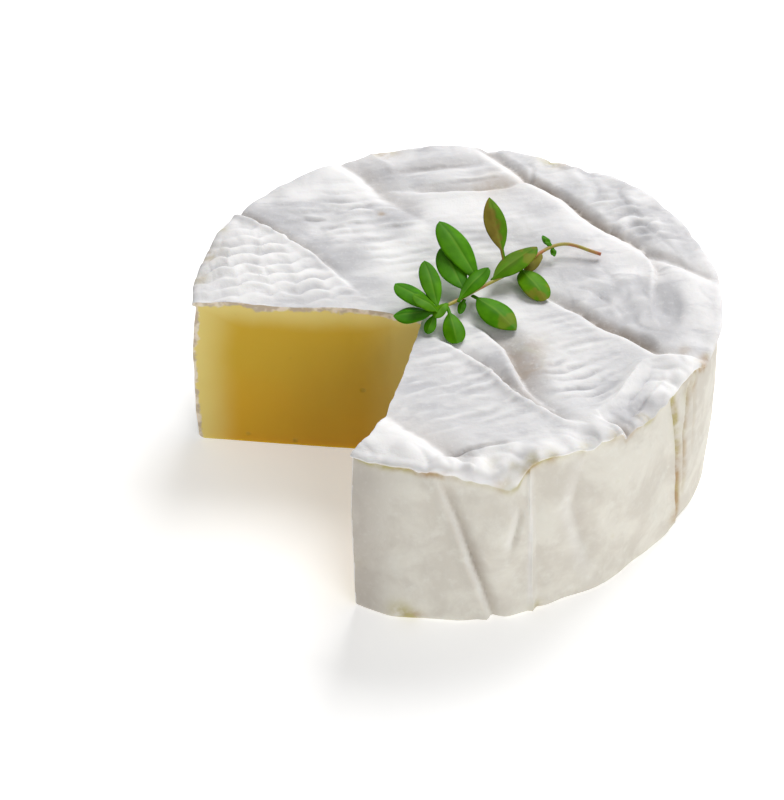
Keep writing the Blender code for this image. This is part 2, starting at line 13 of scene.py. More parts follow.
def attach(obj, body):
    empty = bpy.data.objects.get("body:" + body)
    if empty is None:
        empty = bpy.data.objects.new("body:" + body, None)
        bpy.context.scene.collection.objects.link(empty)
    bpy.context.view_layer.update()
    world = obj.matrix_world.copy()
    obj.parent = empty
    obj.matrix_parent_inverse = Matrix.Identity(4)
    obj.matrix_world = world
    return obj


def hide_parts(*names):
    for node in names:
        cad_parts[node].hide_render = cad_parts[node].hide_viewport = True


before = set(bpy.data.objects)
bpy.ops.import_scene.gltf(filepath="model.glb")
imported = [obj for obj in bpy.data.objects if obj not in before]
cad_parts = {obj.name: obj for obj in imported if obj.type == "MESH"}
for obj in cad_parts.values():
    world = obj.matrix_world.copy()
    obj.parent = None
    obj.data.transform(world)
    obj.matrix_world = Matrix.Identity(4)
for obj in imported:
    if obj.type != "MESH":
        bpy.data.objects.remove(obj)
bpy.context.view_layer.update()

MM = 0.001

# The wheel. Its height is the flat of its top, which the rind's relief rises above.
WHEEL_HEIGHT = 37.0
MEAN_RADIUS = 55.0
TOP_EDGE_ROUND = 1.7
LIP_TUCK = 0.7
LEAST_LIP = 1.2
# A point further than this below the lip's edge isn't near it. Points of the top count as further.
OFF_THE_LIP = 8.0
BOTTOM_EDGE_ROUND = 1.4
BARREL = 0.5

# The rim, where the top rind folds over the side in a lip: direction in degrees, radius, and how far the
# lip's lower edge lies above the flat of the top
RIM = (
    (0, 55.5, -1.0), (20, 55.7, -0.8), (42, 56.2, -1.2), (62, 54.9, -0.6), (80, 55.1, -1.0),
    (102, 55.6, -1.4), (120, 54.6, -0.8), (135, 55.0, -1.2), (150, 55.7, -0.8), (165, 55.0, -1.0),
    (177, 55.0, -0.8), (200, 54.8, -1.2), (225, 54.5, -0.6), (245, 54.2, 0.6), (251, 54.3, 0.3),
    (258, 54.4, -0.5), (268, 54.7, -0.9), (272, 55.0, -2.2), (275, 55.4, -3.4), (278, 55.3, -4.6),
    (280, 55.0, -5.2), (281.5, 54.6, -4.4), (283, 54.3, -1.8), (284.5, 54.0, -0.2), (286, 53.9, 0.3),
    (295, 53.5, 0.6), (300, 53.7, -0.4), (307, 53.8, -1.2), (311, 53.5, -1.0), (315, 53.1, 0.4),
    (322, 52.8, 0.6), (330, 53.3, 0.3), (334, 53.7, -1.0), (338, 54.2, -2.8), (343, 54.7, -2.4),
    (348, 55.1, -1.2),
)

# How far out the side stands at its foot: direction and radius. The front has sagged.
FOOT = (
    (0, 54.2), (30, 55.0), (90, 55.5), (150, 55.2), (200, 55.5), (235, 56.6), (250, 57.9), (256, 58.7),
    (280, 58.5), (286, 57.4), (292, 56.6), (302, 56.3), (310, 55.3), (318, 54.8), (330, 55.0), (345, 54.6),
)

# The fine mesh of the rind
TOP_SQUARES = 218
TOP_GRID_TURN = -46.0
EDGE_ROWS = 6
SIDE_ROWS = 46

# The wedge that was cut out: where each cut runs at the top of the wheel and at its foot, point first
CUT_LEFT = (
    (-7.0, -8.2, -7.3, -8.0), (-13.6, -5.7, -13.6, -7.0), (-21, -4.4, -21, -6.3), (-28, -3.8, -28, -5.6),
    (-36, -3.6, -36, -4.8), (-43, -3.1, -43, -4.0), (-50, -2.7, -50, -3.2), (-70, -1.5, -70, -1.2),
)
CUT_FRONT = (
    (-7.0, -8.2, -7.3, -8.0), (-7.9, -12.3, -8.4, -11.5), (-10.3, -22.4, -11.3, -22.2),
    (-12.6, -30.2, -13.5, -29.8), (-14.8, -38.0, -15.6, -37.5), (-17.8, -45.4, -17.9, -45.6),
    (-20.9, -49.0, -19.4, -50.6), (-23.8, -55.0, -21.2, -56.5), (-29, -68, -25, -70),
)
CUT_OVERRUN = 5.0
CUT_STEP = 0.6


def crease(near, far, crest, *points, broad=(1.0, 0.0), stain_and_shade=0.0):
    """A crease or fold of the rind. Each point is two places and the depth there, negative for a ridge.

    The bank right of the line's way is near wide and has a crest beyond it. The bank left of it is far wide.
    Broad is the width and the share of a wide dip on the far side. The last keyword says how browned and
    darkened the line is: partly real browning, partly painted shade down in the fold.
    """
    return {"near": near, "far": far, "crest": crest, "points": points, "broad": broad, "stain_and_shade": stain_and_shade}


# Creases on the top, whose points are x, y and depth
TOP_CREASES = (
    crease(1.1, 2.4, 0.35, (-52, 35.5, 0.4), (-46.5, 29.8, 1.3), (-42.2, 25.9, 2.0), (-37.7, 21.7, 1.8),
           (-33.5, 18.2, 1.4), (-29.6, 14.2, 1.1), (-26, 9.8, 0.8), (-22.5, 5.0, 0.5), (-19.5, 0.6, 0.2),
           broad=(8.0, 0.3)),
    crease(4.0, 6.0, 0.1, (-28, 52, 0.3), (-22.6, 46.4, 1.0), (-19.4, 43.3, 1.2), (-17.3, 39.6, 1.2),
           (-15.2, 35.6, 1.1), (-11.2, 32.2, 1.0), (-8.4, 28.4, 0.7), (-5, 24, 0.3), broad=(10.0, 0.3)),
    crease(3.0, 1.6, 0.0, (-20.5, 53, -0.1), (-18.2, 50.6, -0.35), (-15.8, 48.0, -0.6),
           (-13.3, 45.4, -0.4), (-12, 44, -0.1)),
    crease(4.0, 3.4, 0.0, (-18, 42.6, 0.5), (-10, 45.0, 0.9), (-2, 46.4, 1.0), (6, 47.6, 0.7)),
    crease(2.2, 3.6, 0.2, (-11, 38.0, 0.4), (-7, 38.0, 0.9), (0, 38.2, 1.1), (6, 38.4, 1.2),
           (12, 39.6, 1.2), (16.5, 41.6, 0.8)),
    crease(3.6, 2.1, 0.15, (4, 56.5, 0.6), (7.7, 52.9, 1.2), (11.8, 48.2, 1.6), (15.4, 44.2, 1.8),
           (18, 41.2, 2.0), (20.4, 38.9, 2.2), (25.4, 33.8, 2.3), (30.2, 27.7, 2.3), (34.3, 23.1, 2.1),
           (37.9, 19.4, 1.6), (40.8, 15.6, 1.3), (47.3, 11.7, 1.1), (51.5, 7.6, 1.0), (56, 4.6, 0.7),
           broad=(8.0, 0.15)),
    crease(1.0, 1.4, 0.2, (17.8, 41.4, 1.0), (17.9, 43.6, 0.8), (17.6, 46.2, 0.3)),
    crease(1.0, 3.2, 0.1, (40.6, 15.8, 0.8), (41.6, 12.6, 1.1), (42.2, 9.6, 1.0), (41.6, 4, 0.6),
           (41.2, -2, 0.6), (41.4, -8, 0.3)),
    crease(3.2, 2.6, 0.15, (8, 8, 0.2), (14, 4.0, 0.7), (20.7, -0.3, 1.3), (25.4, -4.2, 1.7),
           (29.6, -8.4, 2.2), (34.3, -11.7, 2.6), (38.5, -15.6, 2.5), (40.6, -18.0, 1.5), (44, -19.2, 1.0),
           (50, -19.4, 0.6), broad=(10.0, 0.2)),
    crease(1.3, 2.8, 0.45, (-5, -12.5, 0.2), (0, -17, 0.7), (4, -21.5, 1.2), (7.5, -25.5, 1.5),
           (12, -30.5, 1.6), (16, -34.8, 1.5), (20, -38.5, 1.0), (23, -40.8, 0.3)),
    crease(1.6, 5.0, 0.3, (2.5, -8, 0.3), (5.8, -11, 1.0), (9.8, -17.5, 1.8), (12.4, -24, 2.0),
           (14, -29, 1.5), (17, -34, 0.7)),
    crease(4.2, 6.0, 0.3, (-17, -35, 0.5), (-15.4, -36.6, 0.7), (-10, -41.8, 1.0), (-5, -46.4, 1.2),
           (-2, -49.3, 1.2)),
    crease(0.9, 0.8, 0.3, (-2.6, -49.8, 0.9), (0, -48.2, 1.1), (3, -47.1, 1.1), (7, -46.2, 0.9),
           (10.5, -46, 0.3)),
    crease(2.6, 3.4, 0.0, (22, -41.5, -0.5), (27, -38.2, -1.2), (31, -33.2, -1.7), (34, -28, -1.7),
           (37, -23.8, -1.5), (39, -22.2, -0.7), (44, -21.8, -0.5), (49, -21.6, -0.3)),
    crease(1.4, 3.0, 0.3, (28.3, -39.4, 0.5), (30.6, -41.2, 1.8), (33.4, -43.6, 2.1), (36, -46, 1.3)),
    crease(0.8, 1.3, 0.4, (31.5, -40.5, 0.2), (35, -36.4, 0.7), (38.4, -31.4, 0.6), (41, -27.5, 0.2)),
    crease(0.7, 1.2, 0.4, (31.4, -37, 0.2), (34.4, -32.8, 0.6), (37.2, -28.6, 0.5), (39.4, -25, 0.1)),
)

# Low and raised ground on the top: x, y, half-widths along and across, turn in degrees, height. The tables of
# grounds after it give a share where this gives the height.
TOP_GROUND = (
    (24, -26, 11, 6, -55, -0.8), (44, -3.0, 2.6, 5.5, 0, -1.1), (-42, 10, 12, 9, -70, 0.7),
    (22, 20, 15, 7, -45, 0.5), (2, 22, 12, 12, 0, 0.5), (38, 34, 12, 6, -45, 0.5),
    (36, -1, 9, 7, -42, 0.3),
)

# Where the rind is lumpy
LUMPY_GROUND = (
    (34, -2, 13, 11, -42, 1.0), (40, 28, 20, 8, -48, 1.0), (-47, 12, 5, 17, -12, 0.3),
    (33, -38, 9, 4, 55, 1.0), (10, -49, 15, 5, 10, 1.0), (-11, -45, 10, 4.5, -42, 0.3),
    (42, -28, 5, 9, -20, 0.9), (-36, 8, 9, 12, 0, 0.3), (26, 46, 12, 5, -30, 0.8),
    (10, 22, 14, 12, 0, 0.4), (-26, 26, 16, 12, 0, 0.3),
)

# Where the mat's print shows
PRINTED_GROUND = (
    (-26, 28, 17, 13, -20, 0.9), (0, 46, 24, 8, 0, 0.9), (0, -30, 16, 14, -40, 0.8),
    (24, -27, 11, 8, -55, 1.0), (-41, 9, 10, 14, -10, 0.5), (-10, 12, 10, 12, 0, 0.5),
    (38, 32, 16, 7, -45, 0.7), (10, 20, 12, 12, 0, 0.35), (22, -13, 12, 6, -42, 0.6),
    (-12, -44, 9, 5, -42, 0.5),
)

# Where the rind is scaly, a scale's width and spacing, the share of it that slopes up, how deep its edge is
# scalloped as a share of the spacing, and the lean of the rows
SCALY_GROUND = (
    (-42, 8, 10, 15, -8, 1.0), (-30, 3, 8, 5, -10, 0.8), (-20, 32, 9, 6, 0, 0.4),
    (40, 27, 16, 6, -48, 0.5),
)
SCALE_WIDTH = 6.4
SCALE_SPACING = 3.3
SCALE_FACE = 0.72
SCALLOP = 0.35
SCALE_HEIGHT = 0.58
SCALE_LEAN = math.radians(10.0)

# Where the rind is painted whiter, or, with a negative share, greyer: partly a fresher or thinner white bloom,
# and partly painted highlight on lit ground and painted shade in dents, on slopes facing away from the lamps
# and beside the sprig's leaves
WHITER_AND_GREYER_GROUND = (
    (-12, -45, 12, 6, -42, 0.9), (8, -50, 16, 5, 5, 0.9), (30, -41, 12, 5, 50, 0.4),
    (44, -26, 6, 7, -20, 0.9), (33, -30, 8, 1.8, 53, 0.9), (-44, 8, 9, 18, -10, 0.7),
    (0, 31, 15, 6, 0, 0.9), (18, -12, 12, 3.5, -42, 0.6), (25, 27, 16, 3, -50, 0.5),
    (12, 46, 8, 2, -50, 0.4), (34, -3, 12, 9, -42, -0.7), (46, -3, 5, 10, 0, -0.5),
    (-10, 45, 16, 3, 12, -0.6), (-31, 18, 10, 3, -48, -0.5), (14, -20, 3.4, 9, 15, -0.9),
    (46, 18, 6, 9, 30, -0.4), (-12, 30, 5, 9, -40, -0.4), (-13, 11, 7, 7, 0, 0.9),
    (50, -2, 3, 12, 0, 0.5), (43.5, -3, 2.8, 7, 0, -1.1), (-22, 13, 6, 4.5, 0, -1.1),
    (-24, 42, 7, 4, -45, 0.9), (-11, 28.5, 4.5, 4, 0, -1.4), (-34, 27, 5, 4, -40, -0.7),
    (-30, 36, 7, 3, 10, 0.6), (-20, 22, 7, 2.4, 12, 0.6), (-14, 17.5, 5, 2.6, 0, 0.7),
    (-28.5, 18.5, 3, 2.6, 0, -0.9), (-17.5, 4, 3.5, 3, 0, -0.9), (-26, 4.5, 4, 3.5, 0, 0.7),
    (-7.5, 22, 3, 4.5, 0, 0.8), (-14.5, 42, 4, 2.6, 0, -0.8), (-26.5, 34, 3.5, 2.5, 0, -0.5),
    (-24, 10, 2.6, 2.6, 0, -0.6), (22, 17, 9, 3, 10, -0.6), (8, 20, 7, 3, 10, -0.5),
    (37, 33, 8, 2.6, -45, -0.6), (34, -37, 5.5, 3, 52, -1.1), (-39.5, 27, 8, 2.4, -42, -1.1),
    (-31, 8, 8, 2, 12, 0.6), (19, 30, 4, 3, 0, -0.9), (42, 21.5, 5, 2.6, -45, -1.0),
    (41, -13, 4, 3, 0, -0.7), (28, 10, 6, 4, 10, -0.6),
)

# Bulges and dents of the rim: x, y, half-width, height
RIM_LUMPS = (
    (-18, -46, 4.5, 0.7), (-10.5, -50, 4.0, 0.7), (-4, -52, 3.0, 0.8), (5.6, -51, 2.2, -1.5),
    (7.2, -55, 2.4, -1.8), (1.5, -54.5, 2.2, 0.5), (14.5, -49, 3.2, 1.2), (20.5, -46.5, 3.0, 1.2),
    (26.5, -44, 2.6, 1.1), (37, -36, 4.5, -0.7), (44.5, -24, 4.0, 1.8), (49.5, -14, 3.0, -0.6),
    (51.5, -20.2, 2.6, -2.2), (52, -4, 3.5, 0.5), (52, 12, 3.5, 0.5), (38, 38, 4.0, 0.5),
    (23, 48, 2.4, -0.7), (-12, 51, 4.0, -0.6), (-33, 41, 6.0, 0.4), (-51, 20, 4.0, 0.7),
    (-53, 6, 3.0, -0.6),
)

# Folds down the side, from the top to the foot, whose points are direction in degrees, height and depth
SIDE_FOLDS = (
    crease(1.1, 2.7, 0.4, (265, 36, 0.2), (267, 31, 1.0), (269.5, 25, 1.3), (272, 17, 1.7),
           (274.5, 9, 1.5), (277, 0, 1.1), stain_and_shade=0.06),
    crease(2.4, 1.0, 0.2, (281.6, 29, 0.1), (282.2, 25, 0.9), (281, 20, 1.0), (279.6, 16, 0.1)),
    crease(0.8, 0.8, 0.0, (284.0, 35, -0.7), (284.3, 20, -0.8), (284.8, 0, -0.7)),
    crease(0.6, 2.4, 0.0, (285.3, 34, 0.35), (285.6, 20, 0.35), (286, 0, 0.4)),
    crease(4.0, 4.6, 0.2, (296, 32, 0.4), (294, 24, 0.9), (296.5, 14, 0.8), (299.5, 5, 0.3)),
    crease(1.0, 1.8, 0.45, (323.8, 35, 0.5), (324.0, 27, 1.3), (324.3, 20, 1.5), (325.0, 11, 1.2),
           (326.4, 3, 0.8), stain_and_shade=2.0),
    crease(0.8, 1.3, 0.3, (330.4, 34.5, 0.6), (329.0, 31, 1.1), (327.4, 24, 1.2), (328.0, 16, 1.0),
           (328.4, 8, 0.3), stain_and_shade=0.7),
    crease(0.9, 1.4, 0.3, (332.6, 33, 0.4), (332.2, 26, 0.6), (331.8, 17, 0.2), stain_and_shade=0.3),
    crease(3.0, 4.0, 0.3, (21, 32, 0.4), (24, 18, 0.9), (18, 4, 0.3), stain_and_shade=0.1),
    crease(1.4, 3.4, 0.3, (57, 31, 0.5), (60, 14, 1.1), (63, 0, 0.7), stain_and_shade=0.4),
    crease(2.6, 4.6, 0.3, (103, 32, 0.5), (99, 18, 0.9), (104, 5, 0.3)),
    crease(1.4, 3.4, 0.3, (140, 33, 0.6), (138, 16, 1.2), (141, 0, 0.8), stain_and_shade=0.3),
)

# Where a painted highlight runs down the seam ridge of the side, and where painted shade greys the side's left
# end, in degrees
HIGHLIT_SEAM = 284.2
SHADED_SIDE = 249.0

# Browned and yellowed spots of the rind, and two patches of painted shade beside the sprig's leaves: x, y,
# height, half-size, strength
BROWN_SPOTS = (
    (-15, 53, 37, 2.8, 0.9), (23, 49.5, 37, 2.8, 1.0), (13.8, -51.5, 37, 1.6, 1.0),
    (17.5, -50.8, 37, 1.6, 0.8), (49, -23, 36.5, 1.8, 0.9), (50.2, -20.8, 35, 1.6, 1.0),
    (48.6, -25, 33, 1.6, 1.0), (47, -28, 34, 1.8, 0.8), (-52, 14, 36.5, 2.6, 0.8),
    (-50, 22, 37, 1.6, 0.7), (-53.5, 6, 36.5, 1.8, 0.6), (-15.6, 28.6, 37, 0.8, 0.7),
    (36.5, -38, 37, 1.8, 0.6), (5.5, -51.5, 36, 1.8, 0.4), (8.5, -55, 34, 2.0, 0.6),
    # The last two spots on the row below are painted shade beside the sprig's leaves.
    (9.5, 39.5, 36, 4.5, 0.35), (14.5, -16.5, 36, 4, 0.4), (15.5, -23, 36, 3.4, 0.35),
    (-11.4, -57, 2.4, 2.4, 1.0), (-9, -58, 1.0, 1.8, 0.8), (15, -54.5, 1.6, 1.3, 1.0),
    (45.2, -31.5, 4, 1.8, 1.0), (12.6, -53.6, 35.6, 1.4, 0.9), (50.6, -19, 36.4, 1.2, 0.9),
    (51.6, -14.5, 35, 1.0, 0.7), (10, -52.5, 37, 1.0, 0.6), (24, -47.5, 37, 1.2, 0.6),
    (30, -44.5, 37, 1.4, 0.7), (-3, -55.5, 37, 1.2, 0.5), (-19.6, -51.5, 12, 1.8, 0.5),
    (46, -18, 37, 1.4, 0.4), (30.5, -46, 12, 0.5, 0.8), (31.5, -45.5, 26, 0.5, 0.8),
)

# How far the line under the lip is yellowed: direction and strength
UNDER_LIP_STAIN = (
    (0, 0.2), (60, 0.5), (180, 0.3), (240, 0.9), (264, 1.0), (270, 0.5), (276, 0.2), (281, 0.6), (285, 1.0),
    (292, 0.3), (303, 0.2), (312, 0.7), (318, 0.6), (326, 0.2), (336, 0.8), (342, 0.5), (350, 0.1),
)

# The mat's print: fine ridges across the top. Their lean in degrees falls by so much for each millimetre from
# the front of the wheel to its back, and they wander sideways by the warp.
RIDGE_SPACING = 2.9
RIDGE_HEIGHT = 0.30
RIDGE_LEAN = 17.0
RIDGE_LEAN_FALL = 0.26
RIDGE_WARP = 1.5
GRAIN = 0.05

# Unevenness: how much, the size of its lumps, and its seed
CREASE_WANDER_X = ((0.5, 7.0, 11), (0.15, 2.2, 13))
CREASE_WANDER_Y = ((0.5, 7.0, 12), (0.15, 2.2, 14))
TOP_WAVES = ((0.17, 6.0, 21),)
CUSHIONS = ((0.30, 4.0, 23), (0.24, 1.9, 24))
SCALE_WANDER_ALONG = ((1.0, 5.0, 27),)
SCALE_WANDER_ACROSS = ((0.5, 4.5, 28),)
SCALE_STRENGTH = ((0.45, 5.0, 29),)
SIDE_WAVES = ((0.24, 9.0, 31), (0.12, 4.0, 32))
LIP_WAVES = ((0.4, 3.0, 33), (0.2, 1.3, 36))
CUT_WAVES = ((0.16, 16.0, 41), (0.04, 3.0, 42))

# The bare cuts
RIND_THICKNESS = 1.1

# The sprig: its stem as x, y and height above the wheel's top, from the cut end to the tip
STEM_RADIUS = 0.37
STEM_ROUTE = (
    (30.9, 12.5, 1.3), (28.6, 12.9, 1.9), (26.0, 13.8, 2.5), (23.3, 14.2, 2.9), (20.5, 13.2, 2.9),
    (17.9, 11.2, 2.7), (14.4, 7.6, 2.5), (10.6, 4.0, 2.4), (7.0, 1.2, 2.4), (3.6, -1.8, 2.5),
    (0.0, -5.2, 2.7), (-2.5, -7.4, 3.0), (-4.6, -9.4, 3.3),
)

# Its leaves: where each joins the stem, its tip, its width, how far it bows up in the middle, how pointed its
# outline is (1 is an oval, 2 has a point at both ends), where along it is widest, the stalk's share of its
# length, how brown it is all over, on its left half and at its tip, and how yellow a green it is.
# Heights are above the wheel's top. A leaf whose tip height is None lies down on the rind.
LEAF_THICKNESS = 0.3
LEAF_STALK_WIDTH = 0.7
LEAF_WAVE = 0.12
FRESH = (0.0, 0.0, 0.0)
LEAVES = (
    ((10.6, 4.6, 2.6), (7.2, 19.4, 11.0), 4.6, 0.6, 1.8, 0.52, 0.27, (0.15, 0.9, 0.1), 0.4),
    ((5.0, -0.2, 2.6), (-3.4, 12.8, 9.6), 6.1, 0.9, 1.6, 0.6, 0.06, FRESH, 0.3),
    ((1.8, -3.1, 2.8), (-3.1, 9.0, 5.5), 5.7, 0.6, 1.6, 0.52, 0.1, FRESH, 0.2),
    ((-3.9, -8.6, 3.1), (-6.6, 3.9, 6.0), 4.2, 0.8, 1.5, 0.56, 0.06, FRESH, 0.35),
    ((-4.4, -9.2, 3.2), (-12.7, -2.6, 5.0), 4.9, 0.6, 1.5, 0.58, 0.06, FRESH, 0.1),
    ((-4.0, -10.0, 3.6), (-9.1, -8.3, 6.5), 3.7, 0.5, 1.4, 0.54, 0.06, FRESH, 0.6),
    ((-4.6, -9.9, 3.2), (-13.0, -10.2, 2.6), 4.9, 0.5, 1.5, 0.54, 0.08, FRESH, 0.0),
    ((-4.4, -9.8, 3.1), (-6.2, -13.6, None), 2.4, 0.3, 1.4, 0.58, 0.1, FRESH, 0.2),
    ((-2.0, -7.6, 2.9), (-0.1, -16.0, None), 4.5, 0.8, 1.3, 0.6, 0.2, FRESH, 0.45),
    ((3.2, -2.9, 2.3), (12.0, -12.1, None), 6.9, 1.0, 1.7, 0.48, 0.12, (0.0, 0.0, 0.4), 0.35),
    ((0.2, -5.8, 2.9), (6.6, 2.1, 5.6), 3.8, 0.6, 1.4, 0.6, 0.06, FRESH, 0.3),
    ((1.6, -4.4, 2.4), (0.6, -7.2, None), 1.7, 0.3, 1.5, 0.5, 0.1, FRESH, 0.0),
    ((7.4, 1.8, 2.6), (17.1, 10.0, 5.0), 5.4, 0.9, 1.5, 0.52, 0.05, (0.1, 0.15, 0.5), 0.5),
    ((18.3, 11.6, 2.6), (14.6, 5.6, 1.5), 2.7, 0.3, 1.2, 0.45, 0.08, (0.9, 0.0, 0.0), 0.5),
    ((13.6, 5.9, 2.2), (18.5, -2.6, None), 5.9, 0.9, 1.1, 0.5, 0.05, (0.0, 0.0, 0.7), 0.9),
    ((20.2, 13.0, 2.9), (18.5, 15.4, 4.0), 1.5, 0.2, 1.5, 0.5, 0.1, FRESH, 0.1),
    ((20.4, 13.1, 3.1), (19.0, 13.6, 3.9), 1.3, 0.1, 1.3, 0.5, 0.1, FRESH, 0.2),
    ((20.5, 13.1, 2.7), (21.0, 11.2, 1.7), 1.2, 0.1, 1.5, 0.5, 0.1, FRESH, 0.2),
    ((-2.0, -7.0, 3.4), (-4.6, -11.2, 3.0), 2.6, 0.6, 1.4, 0.55, 0.05, FRESH, 0.7),
)
RESTING_GAP = 0.35

# The stage, in metres: the lamps' places, sizes, powers in watts and colours, and the camera, whose lens and
# sensor are in millimetres
LAMPS = (
    ("key", (0.27, 0.56, 0.72), 0.5, 7.8, (1.0, 0.99, 0.985)),
    ("front_fill", (0.42, -0.78, 0.42), 0.6, 3.2, (1.0, 0.985, 0.96)),
)
WORLD_LIGHT = 0.24
CAMERA_PLACE = (-0.01333, -0.39383, 0.34582)
CAMERA_TILT = math.radians(49.414)
CAMERA_LENS = 108.1
CAMERA_SENSOR = 36.0


def maths(operation, swapped=False):
    """A method that adds a Math node for the wire and what is given, or for the two the other way round."""
    def method(self, other=None):
        values = (other, self) if swapped else (self, other)
        return self.sheet.node("ShaderNodeMath", {"operation": operation}, *values)
    return method


class Wire:
    """A socket on its way through a node tree. Arithmetic on it adds Math nodes."""

    def __init__(self, sheet, socket):
        self.sheet = sheet
        self.socket = socket

    __add__ = maths("ADD")
    __radd__ = maths("ADD", swapped=True)
    __sub__ = maths("SUBTRACT")
    __rsub__ = maths("SUBTRACT", swapped=True)
    __mul__ = maths("MULTIPLY")
    __rmul__ = maths("MULTIPLY", swapped=True)
    __truediv__ = maths("DIVIDE")
    __pow__ = maths("POWER")
    __abs__ = maths("ABSOLUTE")
    sin = maths("SINE")
    cos = maths("COSINE")
    at_least = maths("MAXIMUM")
    at_most = maths("MINIMUM")

    def __neg__(self):
        return self * -1.0

    def between(self, low, high):
        """0 below low, 1 above high, and eased between them."""
        settings = {"interpolation_type": "SMOOTHSTEP"}
        return self.sheet.node("ShaderNodeMapRange", settings, self, low, high, 0.0, 1.0)


class Sheet:
    """A node tree that is written down one node at a time."""

    def __init__(self, tree):
        self.tree = tree

    def node(self, kind, settings=None, *values, out=0, **named):
        """Add a node. Its settings come first, then its sockets, by place or by name."""
        made = self.tree.nodes.new(kind)
        for name, value in (settings or {}).items():
            setattr(made, name, value)
        usable = [socket for socket in made.inputs if socket.enabled]
        for socket, value in zip(usable, values):
            self.feed(socket, value)
        for name, value in named.items():
            self.feed(self.find(usable, name), value)
        outputs = [socket for socket in made.outputs if socket.enabled]
        return Wire(self, self.find(outputs, out) if isinstance(out, str) else outputs[out])

    @staticmethod
    def find(sockets, name):
        return next(socket for socket in sockets if socket.name == name.replace("_", " "))

    def feed(self, socket, value):
        if isinstance(value, Wire):
            self.tree.links.new(value.socket, socket)
        elif value is not None:
            socket.default_value = value

    def blend(self, share, *colours):
        """Mix two colours, each a wire or its red, green and blue."""
        settings = {"data_type": "RGBA", "clamp_factor": True}
        colours = [(*colour, 1.0) if isinstance(colour, tuple) else colour for colour in colours]
        return self.node("ShaderNodeMix", settings, share, *colours)

    def reach(self, operation, *values, **named):
        """Vector maths."""
        return self.node("ShaderNodeVectorMath", {"operation": operation}, *values, **named)

    def noise(self, place, scale, detail=2.0, roughness=0.5, distortion=0.0):
        """Noise from 0 to 1, whose scale is in lumps a metre."""
        return self.node("ShaderNodeTexNoise", None, Vector=place, Scale=scale, Detail=detail,
                         Roughness=roughness, Distortion=distortion)


class Finish(Sheet):
    """A material with a Principled BSDF."""

    def __init__(self, name, **constants):
        self.material = bpy.data.materials.new(name)
        self.material.use_nodes = True
        super().__init__(self.material.node_tree)
        self.shader = self.tree.nodes["Principled BSDF"]
        self.set(**constants)

    def set(self, **sockets):
        for name, value in sockets.items():
            self.feed(self.shader.inputs[name.replace("_", " ")], value)

    def place(self):
        return self.node("ShaderNodeTexCoord", out="Object")

    def attribute(self, name):
        return self.node("ShaderNodeAttribute", {"attribute_name": name}, out="Fac")

    def relief(self, height, distance, strength):
        """A bump whose height of 1 stands for the distance in metres."""
        return self.node("ShaderNodeBump", None, Strength=strength, Distance=distance, Height=height)


class Shaper(Sheet):
    """A Geometry Nodes tree with named inputs."""

    KINDS = {float: "NodeSocketFloat", Vector: "NodeSocketVector"}

    def __init__(self, name, **inputs):
        super().__init__(bpy.data.node_groups.new(name, "GeometryNodeTree"))
        self.places = {}
        self.values = {}
        face = self.tree.interface
        face.new_socket("Geometry", in_out="INPUT", socket_type="NodeSocketGeometry")
        face.new_socket("Geometry", in_out="OUTPUT", socket_type="NodeSocketGeometry")
        for label, value in inputs.items():
            kind = self.KINDS[type(value)]
            item = face.new_socket(label.replace("_", " "), in_out="INPUT", socket_type=kind)
            self.places[label] = item.identifier
            self.values[label] = value
        source = self.tree.nodes.new("NodeGroupInput")
        self.given = {socket.name.replace(" ", "_"): Wire(self, socket) for socket in source.outputs}

    def named(self, label):
        """A number stored on the points under that name."""
        return self.node("GeometryNodeInputNamedAttribute", {"data_type": "FLOAT"}, label)

    def store(self, geometry, label, value):
        settings = {"data_type": "FLOAT", "domain": "POINT"}
        return self.node("GeometryNodeStoreNamedAttribute", settings, geometry, Name=label, Value=value)

    def end(self, geometry, material):
        """Give the shape its material and close the tree."""
        dressed = self.node("GeometryNodeSetMaterial", None, Geometry=geometry, Material=material)
        sink = self.tree.nodes.new("NodeGroupOutput")
        self.tree.links.new(dressed.socket, sink.inputs[0])

    def grow(self, start, after=(), **values):
        """Run the tree, and modifiers after it, on an object and give back the plain mesh."""
        step = start.modifiers.new(self.tree.name, "NODES")
        step.node_group = self.tree
        for label, value in {**self.values, **values}.items():
            step[self.places[label]] = value
        for kind, settings in after:
            extra = start.modifiers.new(kind, kind)
            for label, value in settings.items():
                setattr(extra, label, value)
        return take_mesh(start)


def take_mesh(item):
    """The object's mesh as its modifiers leave it. The object is removed."""
    bpy.context.view_layer.update()
    mesh = bpy.data.meshes.new_from_object(item.evaluated_get(bpy.context.evaluated_depsgraph_get()))
    bpy.data.objects.remove(item, do_unlink=True)
    return mesh


def place_object(name, data):
    item = bpy.data.objects.new(name, data)
    bpy.context.scene.collection.objects.link(item)
    return item


def smooth(value):
    """Ease from 0 to 1 over the same range."""
    value = np.clip(value, 0.0, 1.0)
    return value * value * (3.0 - 2.0 * value)


def cloud(x, y, z, size, seed, waves=14):
    """A smooth random field of about -1 to 1, whose lumps are about that size. It has no seam anywhere."""
    draw = np.random.default_rng(seed)
    total = 0.0
    for _ in range(waves):
        way = draw.normal(size=3)
        way = way / np.linalg.norm(way) * 2.0 * math.pi / (size * draw.uniform(1.4, 3.0))
        total = total + np.sin(way[0] * x + way[1] * y + way[2] * z + draw.uniform(0.0, 2.0 * math.pi))
    return total / math.sqrt(0.5 * waves) * 0.6


def uneven(waves, x, y, z=0.0):
    """The clouds of a table of unevenness, added up."""
    return sum(amount * cloud(x, y, z, size, seed) for amount, size, seed in waves)


